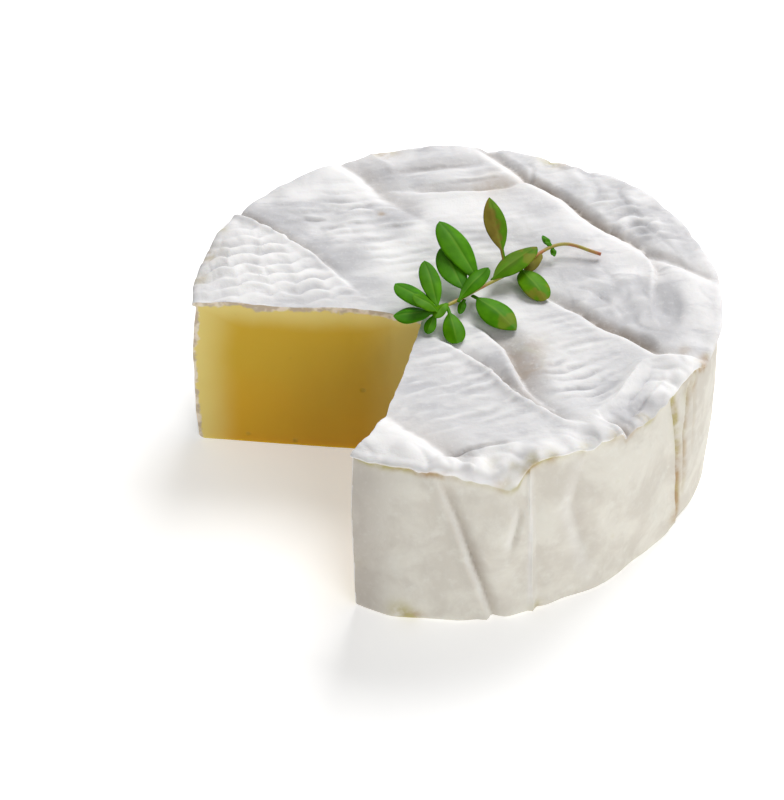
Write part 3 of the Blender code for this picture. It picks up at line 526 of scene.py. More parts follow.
def along_line(points, x, y):
    """For arrays x and y: signed distance to a line of points, left of its way positive, and its depth."""
    nearest = np.full(x.shape, 1.0e6)
    side = np.ones(x.shape)
    depth = np.zeros(x.shape)
    for (ax, ay, a_depth), (bx, by, b_depth) in zip(points, points[1:]):
        run_x = bx - ax
        run_y = by - ay
        part = np.clip(((x - ax) * run_x + (y - ay) * run_y) / (run_x ** 2 + run_y ** 2), 0.0, 1.0)
        off_x = x - ax - part * run_x
        off_y = y - ay - part * run_y
        distance = np.hypot(off_x, off_y)
        closer = distance < nearest
        nearest = np.where(closer, distance, nearest)
        side = np.where(closer, np.sign(run_x * off_y - run_y * off_x + 1.0e-9), side)
        depth = np.where(closer, a_depth + (b_depth - a_depth) * part, depth)
    return nearest * side, depth


def crease_height(line, x, y):
    """Height of a crease: a sharp fold line between two banks, with a crest beyond the near one."""
    offset, depth = along_line(line["points"], x, y)
    away = np.abs(offset)
    width, share = line["broad"]
    near = np.clip(1.0 - away / line["near"], 0.0, 1.0) ** 2
    far = (1.0 - share) * np.clip(1.0 - away / line["far"], 0.0, 1.0) ** 1.5
    far = far + share * np.exp(-(away / width) ** 2)
    crest = smooth(away / line["near"]) * np.exp(-(np.maximum(away / line["near"] - 1.0, 0.0) / 1.1) ** 2)
    return depth * np.where(offset > 0.0, -far, line["crest"] * crest - near)


def spread(grounds, x, y):
    """Each ground's share at the points, 1 in its middle and fading out past its half-widths."""
    for cx, cy, half_length, half_width, turn, amount in grounds:
        turn = math.radians(turn)
        run = ((x - cx) * math.cos(turn) + (y - cy) * math.sin(turn)) / half_length
        off = ((y - cy) * math.cos(turn) - (x - cx) * math.sin(turn)) / half_width
        yield amount * np.exp(-(run * run + off * off) ** 1.5)


def puckers(x, y, size, seed):
    """Sharp little valleys between rounded cushions: -1 in a valley and 0 on a cushion."""
    return -np.clip(1.0 - 2.4 * np.abs(cloud(x, y, 0.0, size, seed)), 0.0, 1.0) ** 1.4


def scales(x, y):
    """Short scalloped ripples, -1 to 1, across the way that the mat's ridges run."""
    along = x * math.cos(SCALE_LEAN) + y * math.sin(SCALE_LEAN) + uneven(SCALE_WANDER_ALONG, x, y)
    across = y * math.cos(SCALE_LEAN) - x * math.sin(SCALE_LEAN) + uneven(SCALE_WANDER_ACROSS, x, y)
    phase = across / SCALE_SPACING - SCALLOP * np.abs(np.sin(math.pi * along / SCALE_WIDTH))
    saw = phase - np.floor(phase)
    saw = np.minimum(saw / SCALE_FACE, (1.0 - saw) / (1.0 - SCALE_FACE))
    return (saw * 2.0 - 1.0) * (0.7 + uneven(SCALE_STRENGTH, x, y))


def lumps(x, y):
    """Cushions of the rind, high on a cushion and low between them, where the ground is lumpy."""
    share = np.minimum(sum(spread(LUMPY_GROUND, x, y)), 1.2)
    return share * (uneven(CUSHIONS, x, y) + 0.34 * puckers(x, y, 4.2, 25))


def scaly(x, y):
    return np.minimum(sum(spread(SCALY_GROUND, x, y)), 1.0) * scales(x, y)


def at_front(y):
    """0 at the middle and the back of the wheel, and 1 at its front, where the rind is more crumpled."""
    return smooth((-y - 15.0) / 15.0)


def top_relief(x, y):
    """Height of the rind above the flat top of the wheel."""
    wobble_x = x + uneven(CREASE_WANDER_X, x, y)
    wobble_y = y + uneven(CREASE_WANDER_Y, x, y)
    radius = np.hypot(x, y)
    # The top swells towards the rim and falls again at it.
    height = 0.5 * smooth((radius - 38.0) / 9.0) - 0.4 * smooth((radius - 49.0) / 6.0)
    for line in TOP_CREASES:
        height = height + crease_height(line, wobble_x, wobble_y)
    height = height + sum(spread(TOP_GROUND, x, y))
    for cx, cy, half_width, rise in RIM_LUMPS:
        height = height + rise * np.exp(-((x - cx) ** 2 + (y - cy) ** 2) / half_width ** 2)
    height = height + lumps(x, y) + SCALE_HEIGHT * scaly(x, y)
    crumpled = smooth((radius - 44.0) / 9.0) * (0.12 + 0.14 * at_front(y))
    height = height + crumpled * (cloud(x, y, 0.0, 2.6, 22) + puckers(x, y, 3.6, 26))
    return height + uneven(TOP_WAVES, x, y)


def round_table(table, angle):
    """The numbers that a table gives at a direction, in degrees."""
    directions, *columns = zip(*table)
    return [np.interp(angle, directions, column, period=360.0) for column in columns]


def on_circle(angle):
    """Places on the wheel's mean circle, at directions in degrees."""
    return MEAN_RADIUS * np.cos(np.radians(angle)), MEAN_RADIUS * np.sin(np.radians(angle))


def unrolled(angle):
    """How far round the side a direction in degrees is."""
    return np.radians(angle) * MEAN_RADIUS


FLAT_FOLDS = [{**fold, "points": [(unrolled(angle), z, depth) for angle, z, depth in fold["points"]]}
              for fold in SIDE_FOLDS]


def side_radius(angle, height):
    """Radius of the wheel's side at a direction in degrees and a height."""
    level = np.clip(height / WHEEL_HEIGHT, 0.0, 1.0)
    rim, _ = round_table(RIM, angle)
    foot, = round_table(FOOT, angle)
    radius = foot + (rim - LIP_TUCK - foot) * level ** 1.3 + BARREL * np.sin(math.pi * level)
    for fold in FLAT_FOLDS:
        radius = radius + crease_height(fold, unrolled(angle), height)
    return radius + uneven(SIDE_WAVES, *on_circle(angle), height)


def rings_below(angle, rim, high):
    """Rings of points down from the top's edge: radius, height, and whether each is rind of the side."""
    _, lip = round_table(RIM, angle)
    low = np.minimum(WHEEL_HEIGHT + lip + uneven(LIP_WAVES, *on_circle(angle)), high - LEAST_LIP)
    widest = low + 0.35 * (high - low)
    rings = []
    for turn in (0.5 * math.pi * step / EDGE_ROWS for step in range(1, EDGE_ROWS + 1)):
        rings.append((rim - TOP_EDGE_ROUND * (1.0 - math.sin(turn)),
                      widest + (high - widest) * math.cos(turn), 0.0))
    tucked = side_radius(angle, low)
    for share in (0.35, 0.7, 0.95):
        rings.append((rim + (tucked - rim) * share ** 3, widest + (low - widest) * share, 0.0))
    start = low - 0.1
    for part in (step / SIDE_ROWS for step in range(SIDE_ROWS + 1)):
        height = start + (BOTTOM_EDGE_ROUND - start) * part ** 1.35
        rings.append((side_radius(angle, height), height, 1.0))
    foot = side_radius(angle, np.full_like(angle, BOTTOM_EDGE_ROUND))
    for turn in (math.radians(22.5 * step) for step in range(1, 5)):
        rings.append((foot - BOTTOM_EDGE_ROUND * (1.0 - math.cos(turn)),
                      np.full_like(angle, BOTTOM_EDGE_ROUND * (1.0 - math.sin(turn))), 1.0))
    return rings, low


def round_off_square(x, y):
    """Spread a square of half-side 1 over a disc of radius 1, turned so that it runs with the creases."""
    spread_x = x * np.sqrt(1.0 - 0.5 * y * y)
    spread_y = y * np.sqrt(1.0 - 0.5 * x * x)
    turn = math.radians(TOP_GRID_TURN)
    return (spread_x * math.cos(turn) - spread_y * math.sin(turn),
            spread_x * math.sin(turn) + spread_y * math.cos(turn))


def rim_radius(angle):
    rim, _ = round_table(RIM, angle)
    x, y = on_circle(angle)
    return rim + 0.20 * cloud(x, y, 0.0, 5.0, 34) + (0.08 + 0.14 * at_front(y)) * cloud(x, y, 0.0, 1.8, 35)


def wheel_points():
    """The whole round: places, faces, lowest ring, how far below the lip's edge, and what is side rind."""
    count = TOP_SQUARES + 1
    line = np.linspace(-1.0, 1.0, count)
    across, deep = round_off_square(*(grid.ravel() for grid in np.meshgrid(line, line)))
    corner = np.arange(count * count).reshape(count, count)
    faces = np.stack([corner[:-1, :-1], corner[:-1, 1:], corner[1:, 1:], corner[1:, :-1]], axis=-1)
    edge = np.concatenate([corner[0, :-1], corner[:-1, -1], corner[-1, :0:-1], corner[:0:-1, 0]])
    angle = np.degrees(np.arctan2(deep, across)) % 360.0
    radius = np.hypot(across, deep) * (rim_radius(angle) - TOP_EDGE_ROUND)
    x = radius * np.cos(np.radians(angle))
    y = radius * np.sin(np.radians(angle))
    z = WHEEL_HEIGHT + top_relief(x, y)
    rings, low = rings_below(angle[edge], rim_radius(angle[edge]), z[edge])
    way = np.radians(angle[edge])
    places = [np.stack([x, y, z], axis=-1)]
    under = [np.full(len(x), OFF_THE_LIP + 1.0)]
    side = [np.zeros(len(x))]
    bands = [faces.reshape(-1, 4)]
    above = edge
    for number, (ring, height, is_side) in enumerate(rings):
        places.append(np.stack([ring * np.cos(way), ring * np.sin(way), height], axis=-1))
        under.append(low - height)
        side.append(np.full(len(edge), is_side))
        below = len(x) + number * len(edge) + np.arange(len(edge))
        bands.append(np.stack([above, below, np.roll(below, -1), np.roll(above, -1)], axis=-1))
        above = below
    return np.concatenate(places), np.concatenate(bands), above, np.concatenate(under), np.concatenate(side)


def mesh_from(name, places, faces, extra_faces=()):
    mesh = bpy.data.meshes.new(name)
    mesh.from_pydata([tuple(place) for place in places * MM], [], [*faces.tolist(), *extra_faces])
    mesh.update()
    return mesh


def store_numbers(mesh, name, values):
    attribute = mesh.attributes.new(name, "FLOAT", "POINT")
    attribute.data.foreach_set("value", np.asarray(values, dtype=np.float32))


def read_places(mesh):
    places = np.empty(3 * len(mesh.vertices), dtype=np.float32)
    mesh.vertices.foreach_get("co", places)
    return places.reshape(-1, 3).astype(float) / MM


def ridge_tree(material):
    """The mat's fine ridges and the velvet grain of the white bloom, raised along the surface's own normal.
    The ridges' wave is stored as well, for the painted highlight on their crests and the painted shade in
    their troughs.
    """
    tree = Shaper("mat_ridges", Spacing=1.0, Height=1.0, Lean=1.0, Lean_Fall=1.0, Warp=1.0, Grain=1.0)
    given = tree.given
    place = tree.node("GeometryNodeInputPosition")
    x, y = (tree.node("ShaderNodeSeparateXYZ", None, place, out=axis) for axis in "XY")
    slow = tree.noise(place, 60.0, 1.0) - 0.5
    quick = tree.noise(place, 230.0, 2.0) - 0.5
    lean = (given["Lean"] - given["Lean_Fall"] * y / MM) * (math.pi / 180.0)
    across = y * lean.cos() - x * lean.sin()
    turn = (across + given["Warp"] * (2.6 * slow + 1.3 * quick)) * (2.0 * math.pi) / given["Spacing"]
    wave = turn.sin() + 0.3 * (2.0 * turn + 9.0 * slow).sin()
    long_lumps = tree.reach("MULTIPLY", place, (0.55, 1.6, 1.0))
    broken = 0.15 + 1.1 * tree.noise(long_lumps, 190.0, 2.0).between(0.4, 0.63)
    crest = wave * broken * tree.named("print_share")
    grain = (tree.noise(place, 1000.0, 3.0, 0.65) - 0.5) * 2.0 * given["Grain"]
    rise = (crest * given["Height"] + grain) * tree.named("above_base")
    lift = tree.reach("SCALE", tree.node("GeometryNodeInputNormal"), Scale=rise)
    marked = tree.store(given["Geometry"], "ridge", crest)
    moved = tree.node("GeometryNodeSetPosition", None, Geometry=marked, Offset=lift)
    tree.end(moved, material)
    return tree


def groove_depth(creases, x, y):
    """How deep in a crease each point is, 0 to about 1."""
    deep = np.zeros(x.shape)
    for line in creases:
        offset, depth = along_line(line["points"], x, y)
        width = np.where(offset > 0.0, 0.6 * line["far"], 0.2 * line["near"])
        deep = np.maximum(deep, np.clip(0.5 * (depth - 0.5), 0.0, 1.0) * np.exp(-(offset / width) ** 2))
    return deep


def near_bank(creases, x, y):
    """How much each point belongs to the raised near bank of a crease, 0 to about 1."""
    bank = np.zeros(x.shape)
    for line in creases:
        offset, depth = along_line(line["points"], x, y)
        place = np.exp(-((offset + 0.45 * line["near"]) / (0.4 * line["near"])) ** 2)
        bank = np.maximum(bank, np.clip(0.6 * depth, 0.0, 1.0) * np.where(offset < 0.0, place, 0.0))
    return bank


def rind_mesh(rind):
    """The whole round with its relief, the mat's ridges and its marks, before the wedge is cut out."""
    places, faces, base_loop, under, side = wheel_points()
    mesh = mesh_from("whole_round", places, faces, [base_loop[::-1].tolist()])
    x, y, z = places.T
    angle = np.degrees(np.arctan2(y, x)) % 360.0
    round_way = unrolled(angle)
    on_side = side > 0.5
    # Painted shade greys the side's left end, which faces away from the lamps; with the folds' depth it
    # darkens the side below.
    greyed_and_shaded = 0.45 * np.exp(-((angle - SHADED_SIDE) / 7.0) ** 2)
    groove = np.where(on_side, np.maximum(groove_depth(FLAT_FOLDS, round_way, z), greyed_and_shaded),
                      groove_depth(TOP_CREASES, x, y))
    # The print fades to a tenth towards the rim, and the lip has none.
    printed = np.minimum(sum(spread(PRINTED_GROUND, x, y)), 1.0)
    printed = printed * np.where(under > OFF_THE_LIP, 1.0 - 0.9 * smooth((np.hypot(x, y) - 43.0) / 7.0), 0.0)
    stain_and_shade, = round_table(UNDER_LIP_STAIN, angle)
    stain_and_shade = stain_and_shade * np.exp(-((under - 0.35) / 0.7) ** 2)
    # Along each side fold's line the rind is browned and darkened: partly real browning, partly painted shade
    # in the fold.
    for fold in FLAT_FOLDS:
        offset, depth = along_line(fold["points"], round_way, z)
        stain_and_shade = stain_and_shade + side * fold["stain_and_shade"] * np.clip(depth, 0.0, 1.0) * np.exp(-((offset - 0.4) / 1.0) ** 2)
    for sx, sy, sz, size, strength in BROWN_SPOTS:
        stain_and_shade = stain_and_shade + strength * np.exp(-((x - sx) ** 2 + (y - sy) ** 2 + (z - sz) ** 2) / size ** 2)
    # Whiter and greyer amounts on the top: partly the bloom's own tone and partly painted light and shade,
    # with painted highlight on the near banks of the creases and on the crests of the scales and cushions, and
    # painted shade in their troughs.
    mould_tone_and_light = sum(spread(WHITER_AND_GREYER_GROUND, x, y)) + 0.8 * near_bank(TOP_CREASES, x, y)
    mould_tone_and_light = mould_tone_and_light + scaly(x, y) + 1.2 * lumps(x, y)
    # Painted highlight down the seam ridge of the side and along the near banks of its folds.
    seam = 0.5 * np.exp(-((round_way - unrolled(HIGHLIT_SEAM)) / 0.5) ** 2) * smooth(z / 8.0)
    side_highlight = 0.5 * near_bank(FLAT_FOLDS, round_way, z) + seam
    for name, values in (("print_share", printed * (1.0 - 0.7 * np.clip(2.0 * groove, 0.0, 1.0))),
                         ("whitened_and_highlit", np.clip(np.where(on_side, side_highlight, mould_tone_and_light), 0.0, 1.0)),
                         ("greyed_and_shaded", np.clip(np.where(on_side, 0.0, -mould_tone_and_light), 0.0, 1.0)), ("groove", groove),
                         ("above_base", smooth(z / 1.5)), ("side_rind", side),
                         ("stain_and_shade", np.clip(stain_and_shade, 0.0, 1.0))):
        store_numbers(mesh, name, values)
    start = place_object("rind_start", mesh)
    return ridge_tree(rind).grow(start, Spacing=RIDGE_SPACING * MM, Height=RIDGE_HEIGHT * MM, Lean=RIDGE_LEAN,
                                 Lean_Fall=RIDGE_LEAN_FALL, Warp=RIDGE_WARP * MM, Grain=GRAIN * MM)


def cut_line(table):
    """A cut's places at the top and at the foot of the wheel, at even steps outward."""
    table = np.array(table, dtype=float)
    run = np.concatenate([[0.0], np.cumsum(np.hypot(*np.diff(table[:, 2:], axis=0).T))])
    steps = np.linspace(0.0, run[-1], int(run[-1] / CUT_STEP))[1:]
    return np.stack([np.interp(steps, run, column) for column in table.T], axis=-1)


def cutter_mesh(paste):
    """A tall wedge whose two cutting sides are fine grids, a little uneven as a knife leaves them."""
    left = cut_line(CUT_LEFT)
    front = cut_line(CUT_FRONT)
    far = np.array([[-70.0, -70.0, -70.0, -70.0]])
    outline = np.concatenate([np.array([CUT_LEFT[0]], dtype=float), left, far, front[::-1]])
    count = len(outline)
    levels = np.arange(-CUT_OVERRUN, WHEEL_HEIGHT + CUT_OVERRUN, CUT_STEP)
    rise = np.clip(np.repeat(levels, count) / WHEEL_HEIGHT, -0.1, 1.1)
    top_x, top_y, foot_x, foot_y = np.tile(outline, (len(levels), 1)).T
    x = foot_x + (top_x - foot_x) * rise
    y = foot_y + (top_y - foot_y) * rise
    z = np.repeat(levels, count)
    # The left cut gives way along y and the front cut along x.
    on_left = np.tile(np.arange(count) <= len(left), len(levels))
    near_rind = smooth((z - WHEEL_HEIGHT + 2.5) / 2.0)
    shift = uneven(CUT_WAVES, x, y, z) + 0.10 * near_rind * cloud(x, y, z, 1.8, 43)
    x = np.where(on_left, x, x + shift)
    y = np.where(on_left, y + shift, y)
    index = np.arange(len(levels) * count).reshape(len(levels), count)
    nextto = np.roll(index, -1, axis=1)
    faces = np.stack([index[:-1], nextto[:-1], nextto[1:], index[1:]], axis=-1).reshape(-1, 4)
    mesh = mesh_from("knife_path", np.stack([x, y, z], axis=-1), faces,
                     [index[0][::-1].tolist(), index[-1].tolist()])
    mesh.materials.append(paste)
    return mesh


def facing_out(mesh):
    solid = bmesh.new()
    solid.from_mesh(mesh)
    bmesh.ops.recalc_face_normals(solid, faces=solid.faces)
    solid.to_mesh(mesh)
    solid.free()


def make_wheel(rind, paste):
    """The cheese: its white rind and the bare paste of its two cuts, in one closed mesh."""
    whole = rind_mesh(rind)
    facing_out(whole)
    knife = cutter_mesh(paste)
    facing_out(knife)
    body = place_object("whole_round", whole)
    cutter = place_object("knife_path", knife)
    cut = body.modifiers.new("missing wedge", "BOOLEAN")
    cut.operation = "DIFFERENCE"
    cut.object = cutter
    cut.material_mode = "TRANSFER"
    mesh = take_mesh(body)
    bpy.data.objects.remove(cutter, do_unlink=True)
    mesh.name = "cheese"
    x, y, z = read_places(mesh).T
    angle = np.degrees(np.arctan2(y, x)) % 360.0
    store_numbers(mesh, "from_top", WHEEL_HEIGHT + top_relief(x, y) - z)
    store_numbers(mesh, "from_side", side_radius(angle, z) - np.hypot(x, y))
    store_numbers(mesh, "from_point", np.hypot(x - CUT_LEFT[0][0], y - CUT_LEFT[0][1]))
    mesh.shade_smooth()
    mesh.set_sharp_from_angle(angle=math.radians(55.0))
    return place_object("cheese", mesh)


def rind_finish():
    """White-moulded rind: velvety and faintly mottled, browned in spots, and warmer and darker on the side,
    partly from its thinner rind and partly as painted shade. Painted shade greys its creases, folds, dents and
    troughs, and painted highlight whitens the crests of its creases, scales, ridges and cushions.
    """
    look = Finish("white_rind", Roughness=0.85, Specular_IOR_Level=0.25, Subsurface_Weight=0.08,
                  Subsurface_Radius=(0.003, 0.0022, 0.0016), Subsurface_Scale=1.0)
    place = look.place()
    groove = look.attribute("groove")
    side = look.attribute("side_rind")
    mottle = look.noise(place, 90.0, 4.0, 0.6, 0.4)
    patch = look.noise(place, 260.0, 3.0, 0.6)
    fine = look.noise(place, 900.0, 4.0, 0.65)
    slow = look.noise(place, 45.0, 2.0)
    streaks = look.noise(look.reach("MULTIPLY", place, (0.5, 1.3, 1.0)), 170.0, 4.0, 0.6, 0.3)
    top = look.blend(mottle.between(0.36, 0.66), (0.75, 0.75, 0.765), (0.89, 0.885, 0.89))
    top = look.blend(0.5 * slow.between(0.45, 0.65), top, (0.65, 0.65, 0.665))
    top = look.blend(0.8 * streaks.between(0.48, 0.66), top, (0.61, 0.61, 0.635))
    # Painted highlight on the crests of the mat's ridges and painted shade in their troughs.
    ridge = look.attribute("ridge")
    top = look.blend(0.6 * ridge.at_least(0.0), top, (0.96, 0.96, 0.96))
    top = look.blend(0.6 * (-ridge).at_least(0.0), top, (0.60, 0.60, 0.62))
    # Painted shade, partly thinner bloom: greyer in dents, in troughs and on slopes facing away from the
    # lamps.
    top = look.blend(0.95 * look.attribute("greyed_and_shaded"), top, (0.58, 0.58, 0.60))
    # The side is warmer and darker than the top: partly its thinner rind, partly painted shade.
    skin = look.blend(mottle.between(0.38, 0.62), (0.67, 0.635, 0.565), (0.77, 0.745, 0.67))
    skin = look.blend(0.5 * patch.between(0.5, 0.75), skin, (0.83, 0.82, 0.75))
    colour = look.blend(side.between(0.2, 0.9), top, skin)
    # Painted highlight, partly fresher bloom: whiter on the crests of creases, scales, cushions and side folds
    # and down the side's seam ridge.
    colour = look.blend(0.9 * look.attribute("whitened_and_highlit"), colour, (0.97, 0.965, 0.965))
    # Creases, the side's folds and the side's left end are darkened to brown-grey: painted shade, with some
    # real browning in the deepest creases.
    colour = look.blend((groove * (0.75 + 0.7 * patch)).at_most(0.85), colour, (0.40, 0.35, 0.31))
    # Brown marks: real browning, plus painted shade down the side's folds and beside the sprig's leaves.
    stain_and_shade = look.attribute("stain_and_shade") * patch.between(0.25, 0.6)
    brown_tint = look.blend(mottle.between(0.4, 0.6), (0.42, 0.27, 0.12), (0.45, 0.40, 0.13))
    colour = look.blend(0.85 * stain_and_shade, colour, brown_tint)
    colour = look.blend((0.35 - 0.22 * side) * fine.between(0.5, 0.8), colour, (0.93, 0.93, 0.93))
    height = 0.65 * fine + 0.35 * look.noise(place, 2600.0, 2.0, 0.6)
    look.set(Base_Color=colour, Normal=look.relief(height, 0.00016, 0.7))
    return look.material


def paste_finish():
    """The soft yellow inside. Its pale yellow just under the top rind, near the rim and near the wedge's point
    is painted light, and its deep amber elsewhere, more orange towards the foot, is painted shade.
    """
    look = Finish("yellow_paste", Roughness=0.45, Specular_IOR_Level=0.25, Subsurface_Weight=0.2,
                  Subsurface_Radius=(0.005, 0.003, 0.001), Subsurface_Scale=1.0)
    place = look.place()
    height = look.node("ShaderNodeSeparateXYZ", None, place, out="Z") / (WHEEL_HEIGHT * MM)
    slow = look.noise(place, 90.0, 2.0) - 0.5
    patch = look.noise(place, 260.0, 3.0)
    from_top = look.attribute("from_top") + 2.5 * slow
    from_side = look.attribute("from_side") + 2.5 * slow
    # Painted shade: a deep amber, more orange towards the foot.
    up = (height + 0.5 * slow).between(0.0, 0.75)
    shaded_amber = look.blend(up, (0.65, 0.365, 0.008), (0.60, 0.385, 0.016))
    # Painted light: paler yellow just under the top rind, near the side and near the wedge's point.
    pale = 1.0 - (from_top.at_most(0.6 * from_side + 1.0)).between(1.0, 7.0)
    lit_near_point = 0.75 * (1.0 - look.attribute("from_point").between(2.0, 14.0))
    colour = look.blend(pale.at_least(lit_near_point), shaded_amber, (0.76, 0.63, 0.20))
    ragged = (look.noise(place, 700.0, 3.0) - 0.5) * 2.0 + (look.noise(place, 200.0, 2.0) - 0.5) * 2.0
    crust = look.attribute("from_top").at_most(look.attribute("from_side") + 0.3)
    edge = 1.0 - (crust + ragged).between(RIND_THICKNESS - 0.3, RIND_THICKNESS + 0.4)
    cloudy = look.noise(place, 420.0, 2.0).between(0.4, 0.6)
    colour = look.blend(0.9 * edge, colour, look.blend(cloudy, (0.50, 0.42, 0.36), (0.80, 0.73, 0.66)))
    # Small dents with darkened middles: painted shade in the pits.
    pits = look.node("ShaderNodeTexVoronoi", {"feature": "F1"}, Vector=place, Scale=150.0, out="Distance")
    dark = (1.0 - pits.between(0.05, 0.13)) * patch.between(0.5, 0.6)
    colour = look.blend(0.35 * dark, colour, (0.30, 0.25, 0.02))
    look.set(Base_Color=colour, Normal=look.relief(look.noise(place, 500.0, 3.0) - 2.0 * dark, 0.00012, 0.5))
    return look.material


def leaf_finish():
    """A lively green leaf with a paler midrib, yellower or browned in places, with a painted sheen on its left
    half and painted shade beside the midrib on its right half.
    """
    look = Finish("thyme_leaf", Roughness=0.5, Specular_IOR_Level=0.05)
    across = look.attribute("across")
    along = look.attribute("along")
    cloudy = look.noise(look.place(), 320.0, 2.0).between(0.32, 0.68)
    dark = look.blend(cloudy, (0.040, 0.190, 0.001), (0.064, 0.270, 0.002))
    bright = look.blend(cloudy, (0.078, 0.225, 0.001), (0.120, 0.300, 0.001))
    colour = look.blend(look.attribute("yellow"), dark, bright)
    sheen = across.between(-1.0, -0.5) * (1.0 - across.between(-0.12, 0.0))
    colour = look.blend(0.2 * sheen, colour, (0.14, 0.33, 0.07))
    shade = across.between(0.02, 0.1) * (1.0 - across.between(0.12, 0.55))
    colour = look.blend(0.45 * shade, colour, (0.028, 0.13, 0.001))
    rib = 1.0 - abs(across).between(0.03, 0.13)
    colour = look.blend(0.3 * rib * (1.0 - along.between(0.7, 1.0)), colour, (0.22, 0.38, 0.06))
    left = look.attribute("left_brown") * (1.0 - (across + 0.8 * cloudy - 0.4).between(-0.3, 0.25))
    tip = look.attribute("tip_brown") * (along + 0.5 * cloudy).between(0.95, 1.2)
    browned = (0.9 * (look.attribute("brown") + left + tip)).at_most(0.9)
    colour = look.blend(browned, colour, look.blend(cloudy, (0.19, 0.13, 0.022), (0.27, 0.20, 0.035)))
    look.set(Base_Color=colour)
    return look.material


def stem_finish():
    """A green-gold stem, reddened in places."""
    look = Finish("thyme_stem", Roughness=0.45, Specular_IOR_Level=0.4)
    patch = look.noise(look.place(), 260.0, 2.0)
    colour = look.blend(patch.between(0.42, 0.62), (0.38, 0.34, 0.06), (0.46, 0.20, 0.07))
    end = STEM_ROUTE[0][0]
    x = look.node("ShaderNodeSeparateXYZ", None, look.place(), out="X")
    cut_end = x.between((end - 1.0) * MM, (end - 0.3) * MM)
    colour = look.blend(0.85 * cut_end, colour, (0.42, 0.09, 0.05))
    look.set(Base_Color=colour)
    return look.material


def leaf_tree(material):
    """One leaf blade: a grid drawn to a leaf's outline along its bowed midrib, its two halves turned down."""
    tree = Shaper("thyme_leaf", Base=Vector(), Run=Vector(), Side=Vector(), Up=Vector(), Width=1.0, Bow=1.0,
                  Point=1.0, Widest=0.5, Stalk=0.1, Stalk_Width=1.0, Wave=1.0, Seed=1.0, Brown=0.0,
                  Left_Brown=0.0, Tip_Brown=0.0, Yellow=0.0)
    given = tree.given
    grid = tree.node("GeometryNodeMeshGrid", None, 1.0, 1.0, 33, 17)
    place = tree.node("GeometryNodeInputPosition")
    x, y = (tree.node("ShaderNodeSeparateXYZ", None, place, out=axis) for axis in "XY")
    along = x + 0.5
    across = 2.0 * y
    part = ((along - given["Stalk"]) / (1.0 - given["Stalk"])).at_least(0.0).at_most(1.0)
    rise = (part / given["Widest"]) ** (given["Point"] * given["Widest"])
    fall = ((1.0 - part) / (1.0 - given["Widest"])) ** (given["Point"] * (1.0 - given["Widest"]))
    blade = rise * fall
    width = (given["Width"] * blade).at_least(given["Stalk_Width"] * (1.0 - along.between(0.3, 0.75)))
    fold = width * (-0.13 * abs(across) ** 1.5 - 0.02 * (1.0 - abs(across).between(0.0, 0.22)))
    wave = given["Wave"] * blade * (9.0 * along + 2.0 * across + given["Seed"]).sin()
    lift = given["Bow"] * (along * math.pi).sin() + fold + wave
    path = tree.reach("ADD", given["Base"], tree.reach("SCALE", given["Run"], Scale=along))
    spread_out = tree.reach("SCALE", given["Side"], Scale=0.5 * width * across)
    raised = tree.reach("SCALE", given["Up"], Scale=lift)
    marked = tree.store(tree.store(grid, "along", along), "across", across)
    for label in ("Brown", "Left_Brown", "Tip_Brown", "Yellow"):
        marked = tree.store(marked, label.lower(), given[label])
    moved = tree.node("GeometryNodeSetPosition", None, Geometry=marked,
                      Position=tree.reach("ADD", tree.reach("ADD", path, spread_out), raised))
    tree.end(moved, material)
    return tree


def rind_level(x, y):
    return WHEEL_HEIGHT + float(top_relief(np.array([x], dtype=float), np.array([y], dtype=float))[0])


def leaf_frame(base, tip):
    """Where a leaf starts, the run to its tip, and the directions across and out of its blade, in metres."""
    top = Vector((0.0, 0.0, WHEEL_HEIGHT))
    base = Vector(base) + top
    if tip[2] is None:
        tip = Vector((*tip[:2], rind_level(*tip[:2]) + RESTING_GAP + LEAF_THICKNESS))
    else:
        tip = Vector(tip) + top
    run = tip - base
    side = run.cross(top).normalized()
    return {"Base": base * MM, "Run": run * MM, "Side": side, "Up": side.cross(run).normalized()}


def join_meshes(name, meshes):
    joined = bmesh.new()
    for mesh in meshes:
        joined.from_mesh(mesh)
    bmesh.ops.recalc_face_normals(joined, faces=joined.faces)
    result = meshes[0].copy()
    joined.to_mesh(result)
    joined.free()
    result.name = name
    result.shade_smooth()
    return result


def make_leaves(material):
    tree = leaf_tree(material)
    meshes = []
    thicken = ("SOLIDIFY", {"thickness": LEAF_THICKNESS * MM, "offset": 0.0})
    for number, (base, tip, width, bow, point, widest, stalk, brown, yellow) in enumerate(LEAVES):
        start = place_object("leaf_start", bpy.data.meshes.new("leaf_start"))
        meshes.append(tree.grow(start, (thicken,), **leaf_frame(base, tip), Width=width * MM, Bow=bow * MM,
                                Point=point, Widest=widest, Stalk=stalk, Stalk_Width=LEAF_STALK_WIDTH * MM,
                                Wave=LEAF_WAVE * MM, Seed=float(number), Brown=brown[0], Left_Brown=brown[1],
                                Tip_Brown=brown[2], Yellow=yellow))
    return place_object("thyme_leaves", join_meshes("thyme_leaves", meshes))


def stem_tree(material):
    """The stem: a round tube along the sprig's route, swelling in knots at random along it."""
    tree = Shaper("thyme_stem", Radius=1.0, Knot=1.0)
    line = tree.node("GeometryNodeResampleCurve", None, Curve=tree.given["Geometry"], Count=160)
    place = tree.node("GeometryNodeInputPosition")
    knot = tree.noise(place, 420.0, 1.0).between(0.5, 0.75)
    line = tree.node("GeometryNodeSetCurveRadius", None, Curve=line, Radius=1.0 + tree.given["Knot"] * knot)
    ring = tree.node("GeometryNodeCurvePrimitiveCircle", {"mode": "RADIUS"}, Resolution=14,
                     Radius=tree.given["Radius"])
    tube = tree.node("GeometryNodeCurveToMesh", None, Curve=line, Profile_Curve=ring, Fill_Caps=True)
    tree.end(tube, material)
    return tree


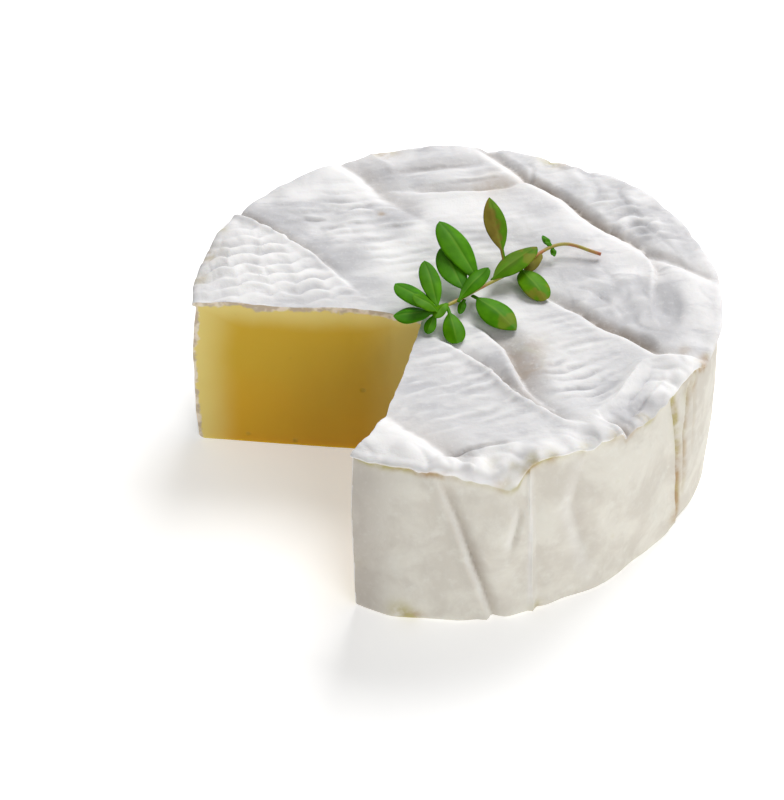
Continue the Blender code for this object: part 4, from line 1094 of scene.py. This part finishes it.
def make_stem(material):
    curve = bpy.data.curves.new("stem_line", "CURVE")
    curve.dimensions = "3D"
    line = curve.splines.new("NURBS")
    line.points.add(len(STEM_ROUTE) - 1)
    line.use_endpoint_u = True
    line.order_u = 3
    for point, (x, y, lift) in zip(line.points, STEM_ROUTE):
        point.co = (x * MM, y * MM, (WHEEL_HEIGHT + lift) * MM, 1.0)
    mesh = stem_tree(material).grow(place_object("stem_line", curve), Radius=STEM_RADIUS * MM, Knot=0.5)
    mesh.name = "thyme_stem"
    facing_out(mesh)
    mesh.shade_smooth()
    return place_object("thyme_stem", mesh)


def settle(pieces):
    """Lower the whole sprig until its lowest place is the resting gap above the rind."""
    gaps = []
    for piece in pieces:
        x, y, z = read_places(piece.data).T
        gaps.append((z - WHEEL_HEIGHT - top_relief(x, y)).min())
    for piece in pieces:
        piece.data.transform(Matrix.Translation((0.0, 0.0, (RESTING_GAP - min(gaps)) * MM)))


def floor_finish():
    return Finish("pale_floor", Roughness=0.9, Base_Color=(0.92, 0.92, 0.92, 1.0),
                  Emission_Color=(1.0, 1.0, 1.0, 1.0), Emission_Strength=0.4).material


def make_stage():
    """A plain pale floor, soft studio light and the photograph's view."""
    bpy.ops.mesh.primitive_plane_add(size=6.0, location=(0.0, 0.0, 0.0))
    floor = bpy.context.object
    floor.name = "floor"
    floor.data.materials.append(floor_finish())

    world = bpy.data.worlds.new("studio")
    world.use_nodes = True
    light = world.node_tree.nodes["Background"].inputs
    light["Color"].default_value = (1.0, 1.0, 1.0, 1.0)
    light["Strength"].default_value = WORLD_LIGHT
    bpy.context.scene.world = world

    for name, place, size, power, colour in LAMPS:
        data = bpy.data.lights.new(name, "AREA")
        data.size = size
        data.energy = power
        data.color = colour
        lamp = place_object(name, data)
        lamp.location = place
        lamp.rotation_euler = (Vector((0.0, 0.0, 0.03)) - Vector(place)).to_track_quat("-Z", "Y").to_euler()

    data = bpy.data.cameras.new("photo_view")
    data.lens = CAMERA_LENS
    data.sensor_width = CAMERA_SENSOR
    camera = place_object("photo_view", data)
    camera.location = CAMERA_PLACE
    camera.rotation_euler = (CAMERA_TILT, 0.0, 0.0)
    bpy.context.scene.camera = camera
    bpy.context.scene.view_settings.view_transform = "Standard"


def main():
    make_stage()
    cheese = make_wheel(rind_finish(), paste_finish())
    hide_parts("cheese_wheel")
    stem = make_stem(stem_finish())
    leaves = make_leaves(leaf_finish())
    settle((stem, leaves))
    for piece in (stem, leaves):
        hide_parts("thyme_sprig")
    for piece in (cheese, stem, leaves):
        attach(piece, "root")


main()
